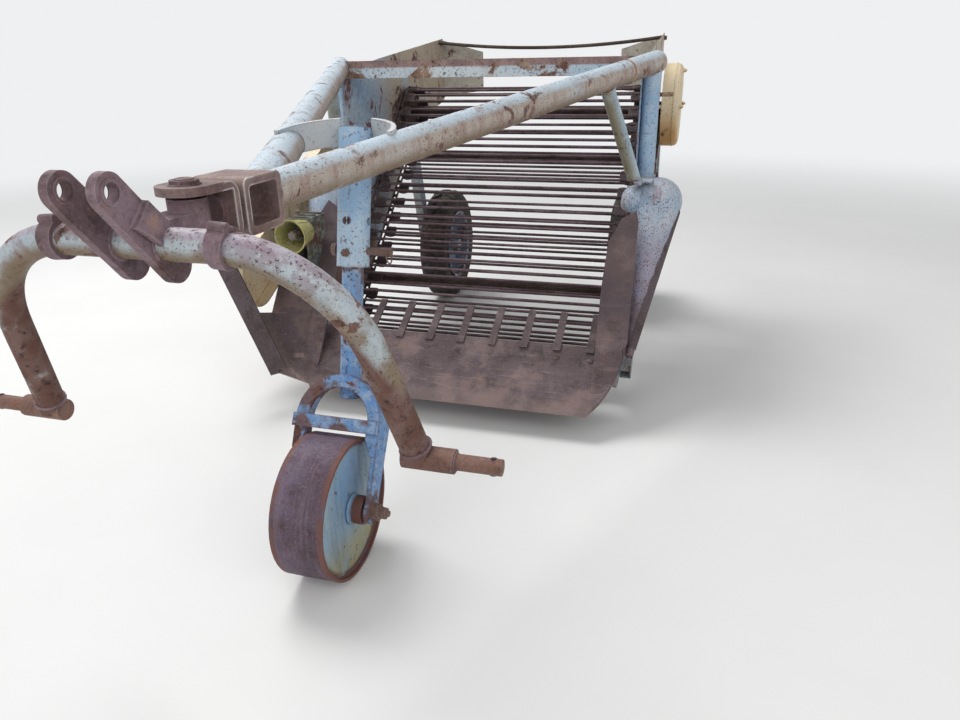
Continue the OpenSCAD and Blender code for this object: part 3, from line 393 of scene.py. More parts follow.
def nose_wash(m):
    """Streaked, with lilac from half way down and brown at the tip."""
    m.lay(m.noise(13, 7, 0.56, 0.66, place=m.stretched(2.4, 0.8, 0.22)), "967a86", 0.7)
    m.lay(m.step(m.axis["Z"], 0.68, 0.50), "887c92", 0.72)
    m.lay(m.times(m.step(m.axis["Z"], 0.50, 0.34), m.noise(9, 7, 0.30, 0.50)), "6c5c62")


def fork_wear(m):
    return m.times(m.noise(9, 5, 0.5, 0.58), 0.9)


def block_wash(m):
    """Rubbed patches and bright scraped edges on the head and the yoke; near one point on the head the scraped
    edges go near white, a painted highlight.
    """
    m.lay(m.noise(9, 6, 0.50, 0.66), "9e8a80", 0.45)
    scraped = m.times(m.edge(0.005, 0.01, 0.06), m.noise(9, 6, 0.44, 0.52))
    m.lay(scraped, "beb2a8", 0.55)
    # Painted highlight: near-white scraped edges near one point on the head
    m.lay(m.times(scraped, m.near(at(46, -1716, 950), 0.07)), "dad8d6")


def clevis_wash(m):
    m.lay(m.noise(14, 6, 0.60, 0.70), "967460", 0.4)
    # A tan spot where the near plate bends: a painted highlight
    m.lay(m.near(at(54, -1936, 954), 0.020, 0.9), "b08c74", 0.55)


def share_wash(m):
    """The share is scratched along its length, scoured lighter at its edge, and darker up the wings."""
    m.lay(m.noise(6, 7, 0.48, 0.62), "947866", 0.30)
    m.lay(m.noise(60, 6, 0.56, 0.66, place=m.stretched(0.14, 1, 1)), "9c8e8c", 0.20)
    m.lay(m.step(m.axis["Y"], row_y(-585), row_y(-630)), "8a7a74", 0.35)
    m.lay(m.times(m.step(m.axis["Z"], 0.20, 0.44), m.noise(7, 6, 0.22, 0.55)), "4a3e42", 0.75)


def wheel_wash(m):
    """The depth wheel's discs keep a faded blue, and its tread is rubbed purple-brown with bands round it."""
    dx = m.calc("SUBTRACT", m.axis["X"], MID_X)
    dy = m.calc("SUBTRACT", m.axis["Y"], row_y(DEPTH_AXLE.y))
    dz = m.calc("SUBTRACT", m.axis["Z"], DEPTH_AXLE.z * MM)
    r = m.calc("SQRT", m.calc("ADD", m.times(dy, dy), m.times(dz, dz)))
    out = m.calc("ABSOLUTE", dx)
    around = {"X": m.times(dx, 95), "Y": m.times(dy, 6), "Z": m.times(dz, 6)}
    m.lay(m.noise(1, 6, 0.48, 0.66, place=m.add("ShaderNodeCombineXYZ", around).outputs[0]), "7c6e7a", 0.38)
    m.lay(m.times(m.step(out, 0.045, 0.063), m.noise(15, 6, 0.3, 0.55)), "704c42")
    tread = m.colour
    m.colour = m.mix(m.noise(5, 5, 0.35, 0.65), "7698ba", "96aab6")
    m.lay(m.times(m.step(m.axis["Z"], 0.17, 0.04), m.noise(6, 6, 0.3, 0.52)), "9c9670")
    m.lay(m.noise(30, 6, 0.46, 0.68, place=m.stretched(1, 1, 0.2)), "6c747a", 0.5)
    m.lay(m.noise(44, 8, 0.60, 0.63, rough=0.7), "604842")
    m.lay(m.times(m.step(r, 0.146, 0.158), m.noise(16, 6, 0.38, 0.52)), "68504a")
    inside = m.times(m.step(r, 0.1615, 0.1585), m.step(out, 0.070, 0.063))
    m.colour = m.mix(m.times(inside, m.step(out, 0.0485, 0.0495)), tread, m.colour)


# In these looks, top is a painted highlight on faces that look up, and under is painted shade on faces that
# look down
PAINTS = {
    "pale_blue_paint": dict(coat="8eacc6", faded="b0c2ce", under="847658", wear=0.35),
    "post": dict(coat="8aaccc", faded="a8c0d4", under="807454", wear=0.10, edges=0.4, streaks=0.35),
    "brace": dict(coat="96b2c6", faded="b2c2ca", top="acc4d4", under="786c4a", wear=0.12, chips=0.62),
    "beam": dict(coat="a4bcce", faded="bec8ce", bare="9e8674", wear=0.46, chips=0.62, streaks=0.5,
                 wash=beam_wash),
    "arch": dict(coat="b0beca", faded="c6c8ca", under="7e7460", wear=0.16, chips=0.4),
    "wall": dict(coat="7c9ab8", faded="9aaebe", wear=0.42, chips=0.45, streaks=0.6, wash=wall_wash),
    "nose": dict(coat="92aac2", faded="b0b8c4", bare="806662", wear=0.22, chips=0.80, streaks=0.5,
                 chip_scale=180, wash=nose_wash),
    "blue_paint": dict(coat="5282b8", faded="749cc2", bare="704e48", wear=0.42, chips=0.6, edges=0.9,
                       extra=fork_wear),
    "rim": dict(coat="58789c", faded="7890a6", bare=RUST_BROWN, wear=0.55, chips=0.6),
    "gear": dict(coat="3e4a46", faded="5a5c4a", bare="4a3a32", wear=0.55, chips=0.6),
    "cream_paint": dict(coat="aab6c0", faded="bcc2c6", top="bacad6", under="80705e", bare="88706e", wear=0.36,
                        chips=0.55, streaks=0.6, chip_scale=200, patch_scale=15, wash=tube_wash),
    "bow": dict(coat="a0b0ba", faded="b4bec2", under="74624c", bare="745c56", wear=0.40, chips=0.56,
                chip_scale=190, patch_scale=19, wash=bow_wash, extra=bow_wear),
    "grey_paint": dict(coat="9e988c", faded="b6b0a2", wear=0.40, chips=0.35, streaks=0.6),
    "tan": dict(coat="dcc69e", faded="e2d0ae", under="be9256", bare=RUST_BROWN, wear=0.12, chips=0.25,
                streaks=0.6),
    "tan_dark": dict(coat="b08a5c", faded="a07a58", bare=RUST_BROWN, wear=0.6),
    "guard_plastic": dict(coat="969454", faded="b0a660", bare="464232", wear=0.15, streaks=0.5),
    "weld_pale": dict(coat="a0a6a8", faded="b0b0aa", bare="7e645a", wear=0.85, chips=0.6, edges=0.2),
    "rail": dict(coat="70808a", faded="828888", bare="58443c", wear=0.75, chips=0.6, edges=0.9, streaks=0.6),
}

RUSTS = {
    "rusty_steel": dict(),
    "block": dict(base="745e5c", light="92807e", dark="483836", shine=0.3, orange=0.18, wash=block_wash),
    "purple": dict(base="645052", light="86727a", dark="3a2c2e", rub="aa9698", shine=0.35, orange=0.22,
                   wash=clevis_wash),
    "pins": dict(base="705248", light="84685e", dark="463430", shine=0.25, orange=0.3),
    "bolt": dict(base="5c443c", light="78625a", shine=0.3),
    "web": dict(base="503e40", light="6c5a62", dark="2a2020", rub="96888c", shine=0.5, orange=0.08),
    "web_plate": dict(base="3a3032", light="4e4246", dark="201a1a", shine=0.2, orange=0.05),
    "share": dict(base="584a4c", light="6e6167", dark="3e3234", shine=0.15, orange=0.14, wash=share_wash),
    "wing": dict(base="4e4244", light="5e5358", dark="3a2f30", shine=0.1, orange=0.10),
    "wheel": dict(base="544652", light="6c5e70", dark="463434", shine=0.45, orange=0.12, wash=wheel_wash),
    "worn_steel": dict(base="786e68", light="928882", shine=1.0, orange=0.1),
    "dark": dict(base="3e322e", light="52443e", dark="261e1c", orange=0.1),
}

# The nodes whose finish isn't the one of their material slot
FINISH = {
    "post": "post_left post_right wheel_sleeve",
    "brace": "brace_left brace_right",
    "beam": "top_beam",
    "arch": "arch_bracket",
    "wall": "side_wall_left side_wall_right",
    "nose": "nose_left nose_right",
    "rim": "rim_left rim_right",
    "gear": "gearbox",
    "bow": "bow_tube",
    "tan": "drive_guard_right chain_guard_left",
    "rail": "rail_left rail_right",
    "block": "head_block yoke",
    "purple": "roll_pin swivel_pin top_link_clevis bow_bands bow_tongue",
    "pins": "hitch_pins",
    "bolt": "shaft_bearings depth_axle leg_pin",
    "share": "share share_fingers wing_left wing_right",
    "wing": "share_beam side_coulter_left",
    "wheel": "depth_wheel",
    # dark: near-black rust for the inner shafts, rollers, tie rod and cross tubes; on the cross tubes it is
    # partly painted shade
    "dark": "head_shaft tail_roller web_rollers rear_tie_rod cross_tubes",
}


def make_materials():
    mats = {name: paint(name, **looks) for name, looks in PAINTS.items()}
    mats.update({name: rust(name, **looks) for name, looks in RUSTS.items()})
    mats["tyre"] = rubber("tyre")
    return mats


def dress_nodes():
    finish = {p["node"]: p["material_slot"] for p in frame["record"]["subparts"]}
    for name, nodes in FINISH.items():
        finish.update({node: name for node in nodes.split()})
    for node, obj in NODES.items():
        obj.data.materials.clear()
        obj.data.materials.append(MATS[finish[node]])


# Shapes

WELD_STEP = 2.3


def axes(along, hint=None):
    """Two directions across a third, as unit vectors."""
    w = Vector(along).normalized()
    h = Vector(hint or (UP if abs(w.z) < 0.9 else BACK))
    u = (h - w * h.dot(w)).normalized()
    return u, w.cross(u), w


class Shape:
    """The mesh of one piece, collected in millimetres in the drawing frame."""

    def __init__(self, seed):
        self.verts = []
        self.faces = []
        self.dice = random.Random(seed)

    def add(self, verts, faces):
        n = len(self.verts)
        self.verts += [Vector(v) for v in verts]
        self.faces += [tuple(i + n for i in f) for f in faces]

    def rings(self, rings, closed=False):
        """Skins a row of rings with as many points each."""
        n = len(rings[0])
        faces = []
        for i in range(len(rings) if closed else len(rings) - 1):
            a, b = i * n, (i + 1) % len(rings) * n
            for k in range(n):
                m = (k + 1) % n
                faces.append((a + k, a + m, b + m, b + k))
        if not closed:
            faces.append(tuple(range(n - 1, -1, -1)))
            faces.append(tuple(range((len(rings) - 1) * n, len(rings) * n)))
        self.add([v for ring in rings for v in ring], faces)

    def lathe(self, centre, along, profile, steps):
        """Turns (radius, height) points round an axis."""
        u, v, w = axes(along)
        c = Vector(centre)
        n = len(profile)
        verts, faces = [], []
        for k in range(steps):
            a = radians(360 * k / steps)
            out = u * cos(a) + v * sin(a)
            verts += [c + out * r + w * h for r, h in profile]
            a, b = k * n, (k + 1) % steps * n
            faces += [(a + i, b + i, b + i + 1, a + i + 1) for i in range(n - 1)]
        self.add(verts, faces)

    def washer(self, centre, along, hole, r, thick, steps=20):
        c = min(0.8, thick * 0.3)
        self.lathe(centre, along, [(hole, 0), (r, 0), (r, thick - c), (r - c, thick), (hole, thick)], steps)

    def hex_head(self, centre, along, across, height):
        """A hexagon with the round chamfer that turned heads have, at a turn of its own."""
        u, v, w = axes(along)
        c = Vector(centre)
        turn = radians(self.dice.uniform(0, 60))
        corner = across / sqrt(3)
        rings = []
        for level, cut in ((0, 1), (0.12, 1), (0.80, 1), (0.93, 0.93), (1, 0.80)):
            ring = []
            for k in range(24):
                flat = across / 2 / cos(radians((15 * k + 30) % 60 - 30))
                t = radians(15 * k) + turn
                ring.append(c + (u * cos(t) + v * sin(t)) * min(flat, corner * cut) + w * (height * level))
            rings.append(ring)
        self.rings(rings)

    def bolt(self, centre, along, across, stud=0.0, washer=True):
        """A washer and a head or nut; with a stud it is a nut, and the stud's end shows with its thread."""
        c, w = Vector(centre), Vector(along).normalized()
        if washer:
            thick = across * 0.14
            self.washer(c, w, across * 0.2, across * 0.72, thick)
            c = c + w * thick
        high = across * 0.62
        self.hex_head(c, w, across, high)
        if stud:
            self.thread(c + w * (high - 0.5), w, across * 0.29, stud, across * 0.11)

    def thread(self, centre, along, r, length, pitch):
        count = max(2, int(length / pitch))
        step = length / count
        profile = [(r * 0.84, 0)]
        for i in range(count):
            profile += [(r, (i + 0.5) * step), (r * 0.86, (i + 1) * step)]
        profile.append((0.01, length + r * 0.1))
        self.lathe(centre, along, profile, 14)

    def pipe(self, path, r, steps=8, closed=False):
        """A round bar along points; r may be one radius or one for each point."""
        pts = [Vector(q) for q in path]
        n = len(pts)
        radii = r if isinstance(r, list) else [r] * n
        side = None
        rings = []
        for i in range(n):
            a = pts[i - 1] if i or closed else pts[0]
            b = pts[(i + 1) % n] if i < n - 1 or closed else pts[-1]
            d = (b - a).normalized()
            side = side or axes(d)[0]
            side = (side - d * side.dot(d)).normalized()
            up = d.cross(side)
            ring = []
            for k in range(steps):
                t = 2 * pi * k / steps
                ring.append(pts[i] + (side * cos(t) + up * sin(t)) * radii[i])
            rings.append(ring)
        self.rings(rings, closed)

    def weld(self, path, r, closed=False):
        """A laid bead: ripples and an uneven width."""
        pts = spaced([Vector(q) for q in path], WELD_STEP, closed)
        n = len(pts)
        phase = self.dice.uniform(0, 6)
        slow = [self.dice.uniform(0.82, 1.18) for _ in range(n // 6 + 3)]
        radii = []
        for i in range(n):
            t = i / 6
            k = int(t)
            wide = slow[k] * (1 - t + k) + slow[k + 1] * (t - k)
            radii.append(r * wide * (1 + 0.13 * sin(phase + i * 2.1)))
        if closed:
            for i in range(min(6, n)):
                t = i / 6
                radii[-1 - i] = radii[-1 - i] * t + radii[0] * (1 - t)
        else:
            radii[0] *= 0.5
            radii[-1] *= 0.5
        self.pipe(pts, radii, 7, closed)

    def weld_round(self, centre, along, r, bead, steps=40):
        self.weld(circle(centre, along, r, steps), bead, closed=True)

    def slab(self, centre, size, along=BACK, up=UP, soft=1.0):
        """A block with broken edges: size is across, along and up."""
        w = Vector(along).normalized()
        v = (Vector(up) - w * Vector(up).dot(w)).normalized()
        u = w.cross(v)
        c = Vector(centre)
        hx, hy, hz = (q / 2 for q in size)
        soft = min(soft, hx * 0.8, hy * 0.8, hz * 0.8)
        rings = []
        for y, cut in ((-hy, soft), (-hy + soft, 0), (hy - soft, 0), (hy, soft)):
            x1, z1 = hx - cut, hz - cut
            ring = []
            for sx, sz in ((1, -1), (1, 1), (-1, 1), (-1, -1)):
                a = u * sx * x1 + v * sz * (z1 - soft)
                b = u * sx * (x1 - soft) + v * sz * z1
                ring += [a, b] if sx * sz > 0 else [b, a]
            rings.append([c + w * y + q for q in ring])
        self.rings(rings)

    def plate(self, outline, origin, u, v, thick, soft=0.8):
        """A flat piece from an outline in u and v, thick along u x v, with broken edges."""
        u, v = Vector(u).normalized(), Vector(v).normalized()
        w = u.cross(v)
        o = Vector(origin)
        pts = [Vector(q) for q in outline]
        inner = inset(pts, soft)
        rings = []
        for ring, high in ((inner, 0), (pts, soft), (pts, thick - soft), (inner, thick)):
            rings.append([o + u * q.x + v * q.y + w * high for q in ring])
        self.rings(rings)

    def piece(self, name, body, slot, finish, smooth=35):
        mesh = bpy.data.meshes.new(name)
        mesh.from_pydata([at(*v) for v in self.verts], [], self.faces)
        mesh.validate()
        bm = bmesh.new()
        bm.from_mesh(mesh)
        bmesh.ops.remove_doubles(bm, verts=bm.verts, dist=0.00002)
        bmesh.ops.recalc_face_normals(bm, faces=bm.faces)
        bm.to_mesh(mesh)
        bm.free()
        mesh.shade_smooth()
        mesh.set_sharp_from_angle(angle=radians(smooth))
        mesh.materials.append(MATS[finish])
        obj = bpy.data.objects.new(name, mesh)
        bpy.context.collection.objects.link(obj)
        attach(obj, body)
        return obj


def spaced(pts, gap, closed):
    """The same line with points at even steps."""
    line = pts + [pts[0]] if closed else list(pts)
    total = sum((b - a).length for a, b in zip(line, line[1:]))
    count = max(3, round(total / gap))
    out, i, done = [], 0, 0.0
    for k in range(count if closed else count + 1):
        want = total * k / count
        while i < len(line) - 2 and done + (line[i + 1] - line[i]).length < want:
            done += (line[i + 1] - line[i]).length
            i += 1
        span = (line[i + 1] - line[i]).length or 1
        out.append(line[i].lerp(line[i + 1], min(1, (want - done) / span)))
    return out


def inset(pts, depth):
    """A convex or nearly convex outline, drawn in by a depth."""
    out = []
    n = len(pts)
    area = sum(pts[i].x * pts[(i + 1) % n].y - pts[(i + 1) % n].x * pts[i].y for i in range(n))
    turn = 1 if area > 0 else -1
    for i in range(n):
        a, b, c = pts[i - 1], pts[i], pts[(i + 1) % n]
        d1, d2 = (b - a).normalized(), (c - b).normalized()
        n1 = vec(-d1.y, d1.x) * turn
        n2 = vec(-d2.y, d2.x) * turn
        m = n1 + n2
        m = m / max(0.3, m.length_squared / 2) if m.length > 1e-6 else n1
        out.append(b + m * depth)
    return out


def circle(centre, along, r, steps=40, hint=None):
    u, v, _ = axes(along, hint)
    turns = [radians(360 * k / steps) for k in range(steps)]
    return [Vector(centre) + (u * cos(a) + v * sin(a)) * r for a in turns]


def spoke(degrees, r=1, x=0):
    """A place at r from the X axis, and x along it."""
    a = radians(degrees)
    return vec(x, r * cos(a), r * sin(a))


# Sizes that part.scad also holds, in millimetres

WALL_X = 565.8
SWIVEL_Y = -1784
TUBE_LOW = vec(-6, -1620, 932)
TUBE_TOP = vec(596, 0, 1153)
TUBE_ALONG = (TUBE_TOP - TUBE_LOW).normalized()
TUBE_R = 37.5
POST_R = 30.6
BRACE_FOOT = vec(566, -112, 771)
BRACE_TOP = TUBE_LOW + TUBE_ALONG * ((-331 + 1620) / TUBE_ALONG.y)
BRACE_R = 23
BOW_TOP = vec(0, -1906, 918)
BOW_EYE = vec(0, -1990, 1005)
PIN_Y, PIN_Z = -1789, 549
DEPTH_AXLE = vec(0, -1440, 172)
FORK_LEAN = radians(29)
HEAD_SHAFT = vec(0, 580.2, 965.4)
BEARING_BOLTS_R = 45
PANEL_BOLTS_Y = 1120
DRUM = HEAD_SHAFT + vec(611.8, 0, 22)
SLEEVE_TOP = vec(0, -1147, 1022)
RAKE_ANGLE = radians(13)
RAKE = vec(0, sin(RAKE_ANGLE), cos(RAKE_ANGLE))
WHEEL = vec(466, 850, 280)
WHEEL_BOLTS_R = 62
SHARE_EDGE = vec(0, -642, 84)
SHARE_SLOPE = radians(28)
WEB_PITCH, WEB_PAIRS, HEAD_PAIRS, TAIL_PAIRS, WEB_SLOPE = 80, 36, 8, 5, 45.8
TAIL = (-269.0, 147.0)
CHAIN_X = 536.8
NOSE_TIP, NOSE_TOP = vec(612, -430, 232), vec(650, -62, 690)
NOSE_LONG = (NOSE_TOP - NOSE_TIP).length
NOSE_ALONG = (NOSE_TOP - NOSE_TIP) / NOSE_LONG
NOSE_FORE = RIGHT.cross(NOSE_ALONG).normalized()
NOSE_SIDE = -NOSE_FORE.cross(NOSE_ALONG).normalized()
NOSE_SMALL, NOSE_BIG = 12, 85
NOSE_FLARE = asin((NOSE_BIG - NOSE_SMALL) / NOSE_LONG)


def flip(v, s):
    """The same place on the right, or mirrored on the left."""
    v = Vector(v)
    return vec(s * v.x, v.y, v.z)


def on_tube(p, d):
    """Where a line from p along d meets the right main tube, or None."""
    p, d, w = Vector(p), Vector(d).normalized(), TUBE_ALONG.normalized()
    q = (p - TUBE_LOW) - w * (p - TUBE_LOW).dot(w)
    e = d - w * d.dot(w)
    k, m, n = e.dot(e), 2 * q.dot(e), q.dot(q) - TUBE_R * TUBE_R
    under = m * m - 4 * k * n
    if k < 1e-9 or under < 0:
        return None
    return p + d * ((-m - sqrt(under)) / (2 * k))


# Welds


def frame_welds():
    """The welds of the main tubes at the head and on the posts, and of the posts' and the braces' ends."""
    shape = Shape(11)
    for s in (1, -1):
        u, v, w = axes(TUBE_ALONG, (-1, 0, 0))
        ring = []
        for k in range(49):
            a = radians(7.5 * k)
            off = (u * cos(a) + v * sin(a)) * (TUBE_R + 0.8)
            q = TUBE_LOW + off + w * ((-1583.2 - TUBE_LOW.y - off.y) / w.y)
            if q.x > 2:
                ring.append(flip(q, s))
        shape.weld(ring, 4.4)
        ring = []
        for k in range(40):
            a = radians(9 * k)
            ring.append(flip(on_tube((596 + POST_R * cos(a), POST_R * sin(a), 900), UP), s))
        shape.weld(ring, 3.6, closed=True)
        shape.weld([flip(q, s) for q in circle((596, 0, 771.4), UP, 30.8)], 3.4, closed=True)
        along = (BRACE_TOP - BRACE_FOOT).normalized()
        u, v, _ = axes(along)
        top, foot = [], []
        for k in range(36):
            a = radians(10 * k)
            start = BRACE_FOOT + (u * cos(a) + v * sin(a)) * (BRACE_R + 0.6)
            q = on_tube(start, along)
            if q:
                top.append(flip(q, s))
            foot.append(flip(start + along * ((771.6 - start.z) / along.z), s))
        shape.weld(top, 3.4, closed=True)
        shape.weld(foot, 3.2, closed=True)
    shape.piece("Frame_welds", "root", "pale_blue_paint", "weld_pale")


def nose_seams():
    """The weld between each nose and its side wall."""
    shape = Shape(12)
    long = NOSE_LONG - NOSE_BIG * sin(NOSE_FLARE)
    for s in (1, -1):
        path = []
        for k in range(60):
            t = NOSE_LONG * (0.02 + 0.98 * k / 59)
            r = NOSE_SMALL + (NOSE_BIG * cos(NOSE_FLARE) - NOSE_SMALL) * min(1, t / long) + 0.4
            a = NOSE_TIP + NOSE_ALONG * t
            c = (566.6 - a.x) / (r * NOSE_SIDE.x)
            if abs(c) <= 1:
                path.append(flip(a + NOSE_SIDE * r * c + NOSE_FORE * r * sqrt(1 - c * c), s))
        shape.weld(path, 2.6)
    shape.piece("Nose_seams", "root", "pale_blue_paint", "weld_pale")


def bow_welds():
    """The bow's bands, feet and pins, and the tongue."""
    shape = Shape(13)
    for x in (-38, 38):
        for e in (-8.2, 8.2):
            shape.weld_round(BOW_TOP + vec(x + e, 0, 0), RIGHT, 26.2, 2.8)
    for s in (1, -1):
        shape.weld_round((s * 373.4, -1795.6, 571), (s * -15, -25, 78), 26.0, 3.0)
        shape.weld_round((s * 440.5, PIN_Y, PIN_Z), RIGHT, 15.2, 2.4)
    for x in (-29, 29):
        shape.weld([(x, -1884, 909 + k * 7) for k in range(6)], 2.6)
    shape.piece("Bow_welds", "bow", "rusty_steel", "purple")


def wheel_welds():
    """Round the depth wheel's hub and its discs."""
    shape = Shape(14)
    for s in (1, -1):
        shape.weld_round(DEPTH_AXLE + vec(s * 59, 0, 0), RIGHT, 35, 3.0, 36)
        shape.weld_round(DEPTH_AXLE + vec(s * 54.2, 0, 0), RIGHT, 164, 2.6, 120)
    shape.piece("Depth_wheel_welds", "depth_wheel", "rusty_steel", "wheel")


# Fastenings, holes and doublers

GREASE_NIPPLE = [(4.2, -1), (4.2, 3), (2.6, 3.6), (2.6, 6), (3.4, 8), (2.0, 10), (0.01, 10.4)]
DRUM_BAND = [(164.6, 0), (166.4, 0.4), (166.6, 1.2), (166.6, 5.2), (166.0, 6.2), (164.4, 6.4)]
RIVET = [(4.2, 0), (3.8, 1.4), (2.2, 2.4), (0.01, 2.7)]


def frame_bolts():
    """The head shaft's bearing bolts and grease nipples, and the bolts of the rear panels."""
    shape = Shape(21)
    for s in (1, -1):
        for k in range(4):
            place = HEAD_SHAFT + spoke(45 + 90 * k, BEARING_BOLTS_R, WALL_X + 12.4)
            shape.bolt(flip(place, s), (s, 0, 0), 13, stud=5)
        shape.lathe(flip(HEAD_SHAFT + vec(WALL_X + 30.2, 0, 24), s), (s * 0.5, 0, 0.86), GREASE_NIPPLE, 12)
        for z in (1010, 1265, 1140):
            shape.bolt(flip((WALL_X + 0.2, PANEL_BOLTS_Y, z), s), (s, 0, 0), 17)
            shape.bolt(flip((WALL_X - 4.2, PANEL_BOLTS_Y, z), s), (-s, 0, 0), 17, stud=6)
    shape.piece("Frame_bolts", "root", "rusty_steel", "bolt")


def drum_bolts():
    """The right drum guard's bolts and its rim band."""
    shape = Shape(22)
    for a in (0, 90, 180):
        shape.bolt(DRUM + spoke(a, 156, 72.2) - spoke(a, 20), RIGHT, 14, stud=4)
    shape.lathe(DRUM + vec(44, 0, 0), RIGHT, DRUM_BAND, 96)
    shape.piece("Drum_guard_trim", "root", "cream_paint", "tan")


def drum_lap():
    """The lap joints of the drum guard's rim, with their rivets."""
    shape = Shape(23)
    for a in (163, -14):
        out = spoke(a)
        across = vec(0, -out.z, out.y)
        shape.slab(DRUM + out * 166.4 + vec(22, 0, 0), (3.0, 43, 16), RIGHT, across, 0.8)
        for x in (10, 34):
            shape.lathe(DRUM + out * 167.4 + vec(x, 0, 0), out, RIVET, 14)
    shape.piece("Drum_guard_lap", "root", "cream_paint", "tan_dark")


def chain_case_trim():
    """The left chain case's screws along both straight sides, and a bolted cover over each of its shafts."""
    shape = Shape(24)
    low, high = vec(0, -500, 440), vec(0, 580.2, 965.4)
    along = (high - low).normalized()
    out = vec(0, -along.z, along.y)
    x = -788.9
    for k in range(7):
        t = 0.1 + 0.8 * k / 6
        for s in (1, -1):
            place = low.lerp(high, t) + out * s * (98 + 8 * t)
            shape.bolt((x - 0.2, place.y, place.z), -RIGHT, 10)
    for place, r in ((low, 70), (high, 62)):
        cover = [(r, 0), (r - 1, 3), (r - 8, 4.2), (r * 0.45, 4.6), (r * 0.42, 6), (0.01, 6.2)]
        shape.lathe((x + 0.4, place.y, place.z), -RIGHT, cover, 64)
        for k in range(5):
            a = radians(72 * k + 20)
            shape.bolt((x - 3.4, place.y + (r - 14) * cos(a), place.z + (r - 14) * sin(a)), -RIGHT, 9)
    shape.piece("Chain_case_trim", "root", "cream_paint", "tan")


PLUG = [(9, 0), (9, 5), (5, 6), (5, 14), (8, 16), (8, 22), (4, 25), (0.01, 25)]
GUARD_LIP = [(56.4, 0.2), (58.2, -0.8), (61.2, -0.6), (62.4, 1.0), (61.8, 3.2), (60.0, 4.0)]
# Along the drive stub: Y, and the radius between the splines and on them
STUB = ((-412, 17.4, 17.4), (-420, 17.4, 17.4), (-420.2, 14.2, 17.4), (-474, 14.2, 17.4),
        (-474.2, 13.6, 13.6), (-482, 13.6, 13.6), (-482.2, 14.2, 17.4), (-497, 14.2, 17.4), (-500, 12, 15.2))
STUB_X, STUB_Z = -589.8, 600


def gearbox_trim():
    """Ribs, a bolted front cover, a filler plug and a vent on the gearbox."""
    shape = Shape(25)
    x, front, top = -610, -410, 645
    for y in (-395, -350, -305):
        shape.slab((x, y, top + 3), (80, 7, 7), soft=1.5)
    cover = [(-34, -36), (34, -36), (38, -32), (38, 32), (34, 36), (-34, 36), (-38, 32), (-38, -32)]
    shape.plate(cover, (x, front + 0.2, 600), RIGHT, UP, 6)
    for dx in (-30, 30):
        for dz in (-28, 28):
            shape.bolt((x + dx, front - 6, 600 + dz), -BACK, 10)
    shape.bolt((x + 18, -330, top), UP, 16)
    shape.lathe((x - 20, -372, top + 0.2), UP, PLUG, 20)
    shape.piece("Gearbox_trim", "root", "blue_paint", "gear")


def pto():
    """The drive stub with six splines, and the lip and ribs of its guard."""
    shape = Shape(26)
    rings = []
    for y, root, tip in STUB:
        ring = []
        for k in range(48):
            a = radians(7.5 * k)
            r = tip if 14 < 7.5 * k % 60 < 46 else root
            ring.append(vec(STUB_X + r * cos(a), y, STUB_Z + r * sin(a)))
        rings.append(ring)
    shape.rings(rings)
    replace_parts(shape.piece("PTO_splined_stub", "root", "worn_steel", "worn_steel", smooth=25), "pto_shaft")
    lip = Shape(27)
    lip.lathe((STUB_X, -512.2, STUB_Z), BACK, GUARD_LIP, 64)
    for k in range(8):
        a = radians(45 * k + 12)
        out = vec(cos(a), 0, sin(a))
        p0 = vec(STUB_X, -420, STUB_Z) + out * 43.4
        p1 = vec(STUB_X, -505, STUB_Z) + out * 58.6
        lip.slab((p0 + p1) / 2, (4, (p1 - p0).length, 3.2), p1 - p0, out, 0.9)
    lip.piece("PTO_guard_ribs", "root", "guard_plastic", "guard_plastic")


AXLE_COLLAR = [(12.2, -6), (13.4, -5), (13.4, 1.8), (12.4, 2.4), (12.2, 2.4)]


def leg_pin_trim():
    """The ring of the leg pin's clip, and the collars and split pins of the depth wheel's axle."""
    shape = Shape(28)
    z = 745
    y = SLEEVE_TOP.y - (SLEEVE_TOP.z - z) * tan(RAKE_ANGLE)
    shape.pipe(circle((92, y, z - 12), (1, 0, 0.15), 15, 40, hint=BACK), 1.9, 7, closed=True)
    for s in (1, -1):
        end = DEPTH_AXLE + vec(s * 119, 0, 0)
        long_leg = [end + vec(0, *q) for q in ((0, 22), (0, -15), (4, -22), (9, -24))]
        shape.pipe(long_leg, [2.0, 2.0, 1.6, 1.4], 7)
        shape.pipe([end + vec(0, *q) for q in ((1.6, -14), (-5, -22), (-10, -21))], [1.8, 1.6, 1.4], 7)
        shape.lathe(end + vec(-s * 5, 0, 0), (s, 0, 0), AXLE_COLLAR, 28)
    shape.piece("Pin_clips", "root", "rusty_steel", "bolt")


def sleeve_trim():
    """A rolled collar at each end of the sleeve, and the weld to its bracket."""
    shape = Shape(29)
    low = SLEEVE_TOP - RAKE * 323.3
    for place, d in ((SLEEVE_TOP, -1), (low, 1)):
        shape.weld_round(place + RAKE * d * 1.2, RAKE, 38.2, 1.6, 48)
    for s in (1, -1):
        shape.weld([(s * 29, -1150 - k * 2 + 6, 1000 - k * 9) for k in range(6)], 3.2)
    shape.piece("Sleeve_trim", "root", "pale_blue_paint", "post")


PIN_CAP = [(15.5, 0), (15.5, 1.4), (10, 2.6), (4, 2.4), (0.01, 1.6)]
PIN_HOLE = [(5.2, -1), (7.4, -1), (7.2, 0.9), (6.2, 1.3), (5.2, 0.8)]
HOLE_LIP = [(9.0, 0.6), (9.4, 2.1), (10.4, 1.9), (11.6, 0.6), (11.6, -1)]
HOLE_BORE = [(9.3, -0.6), (9.2, 1.9), (5, 1.95), (0.01, 2.0)]


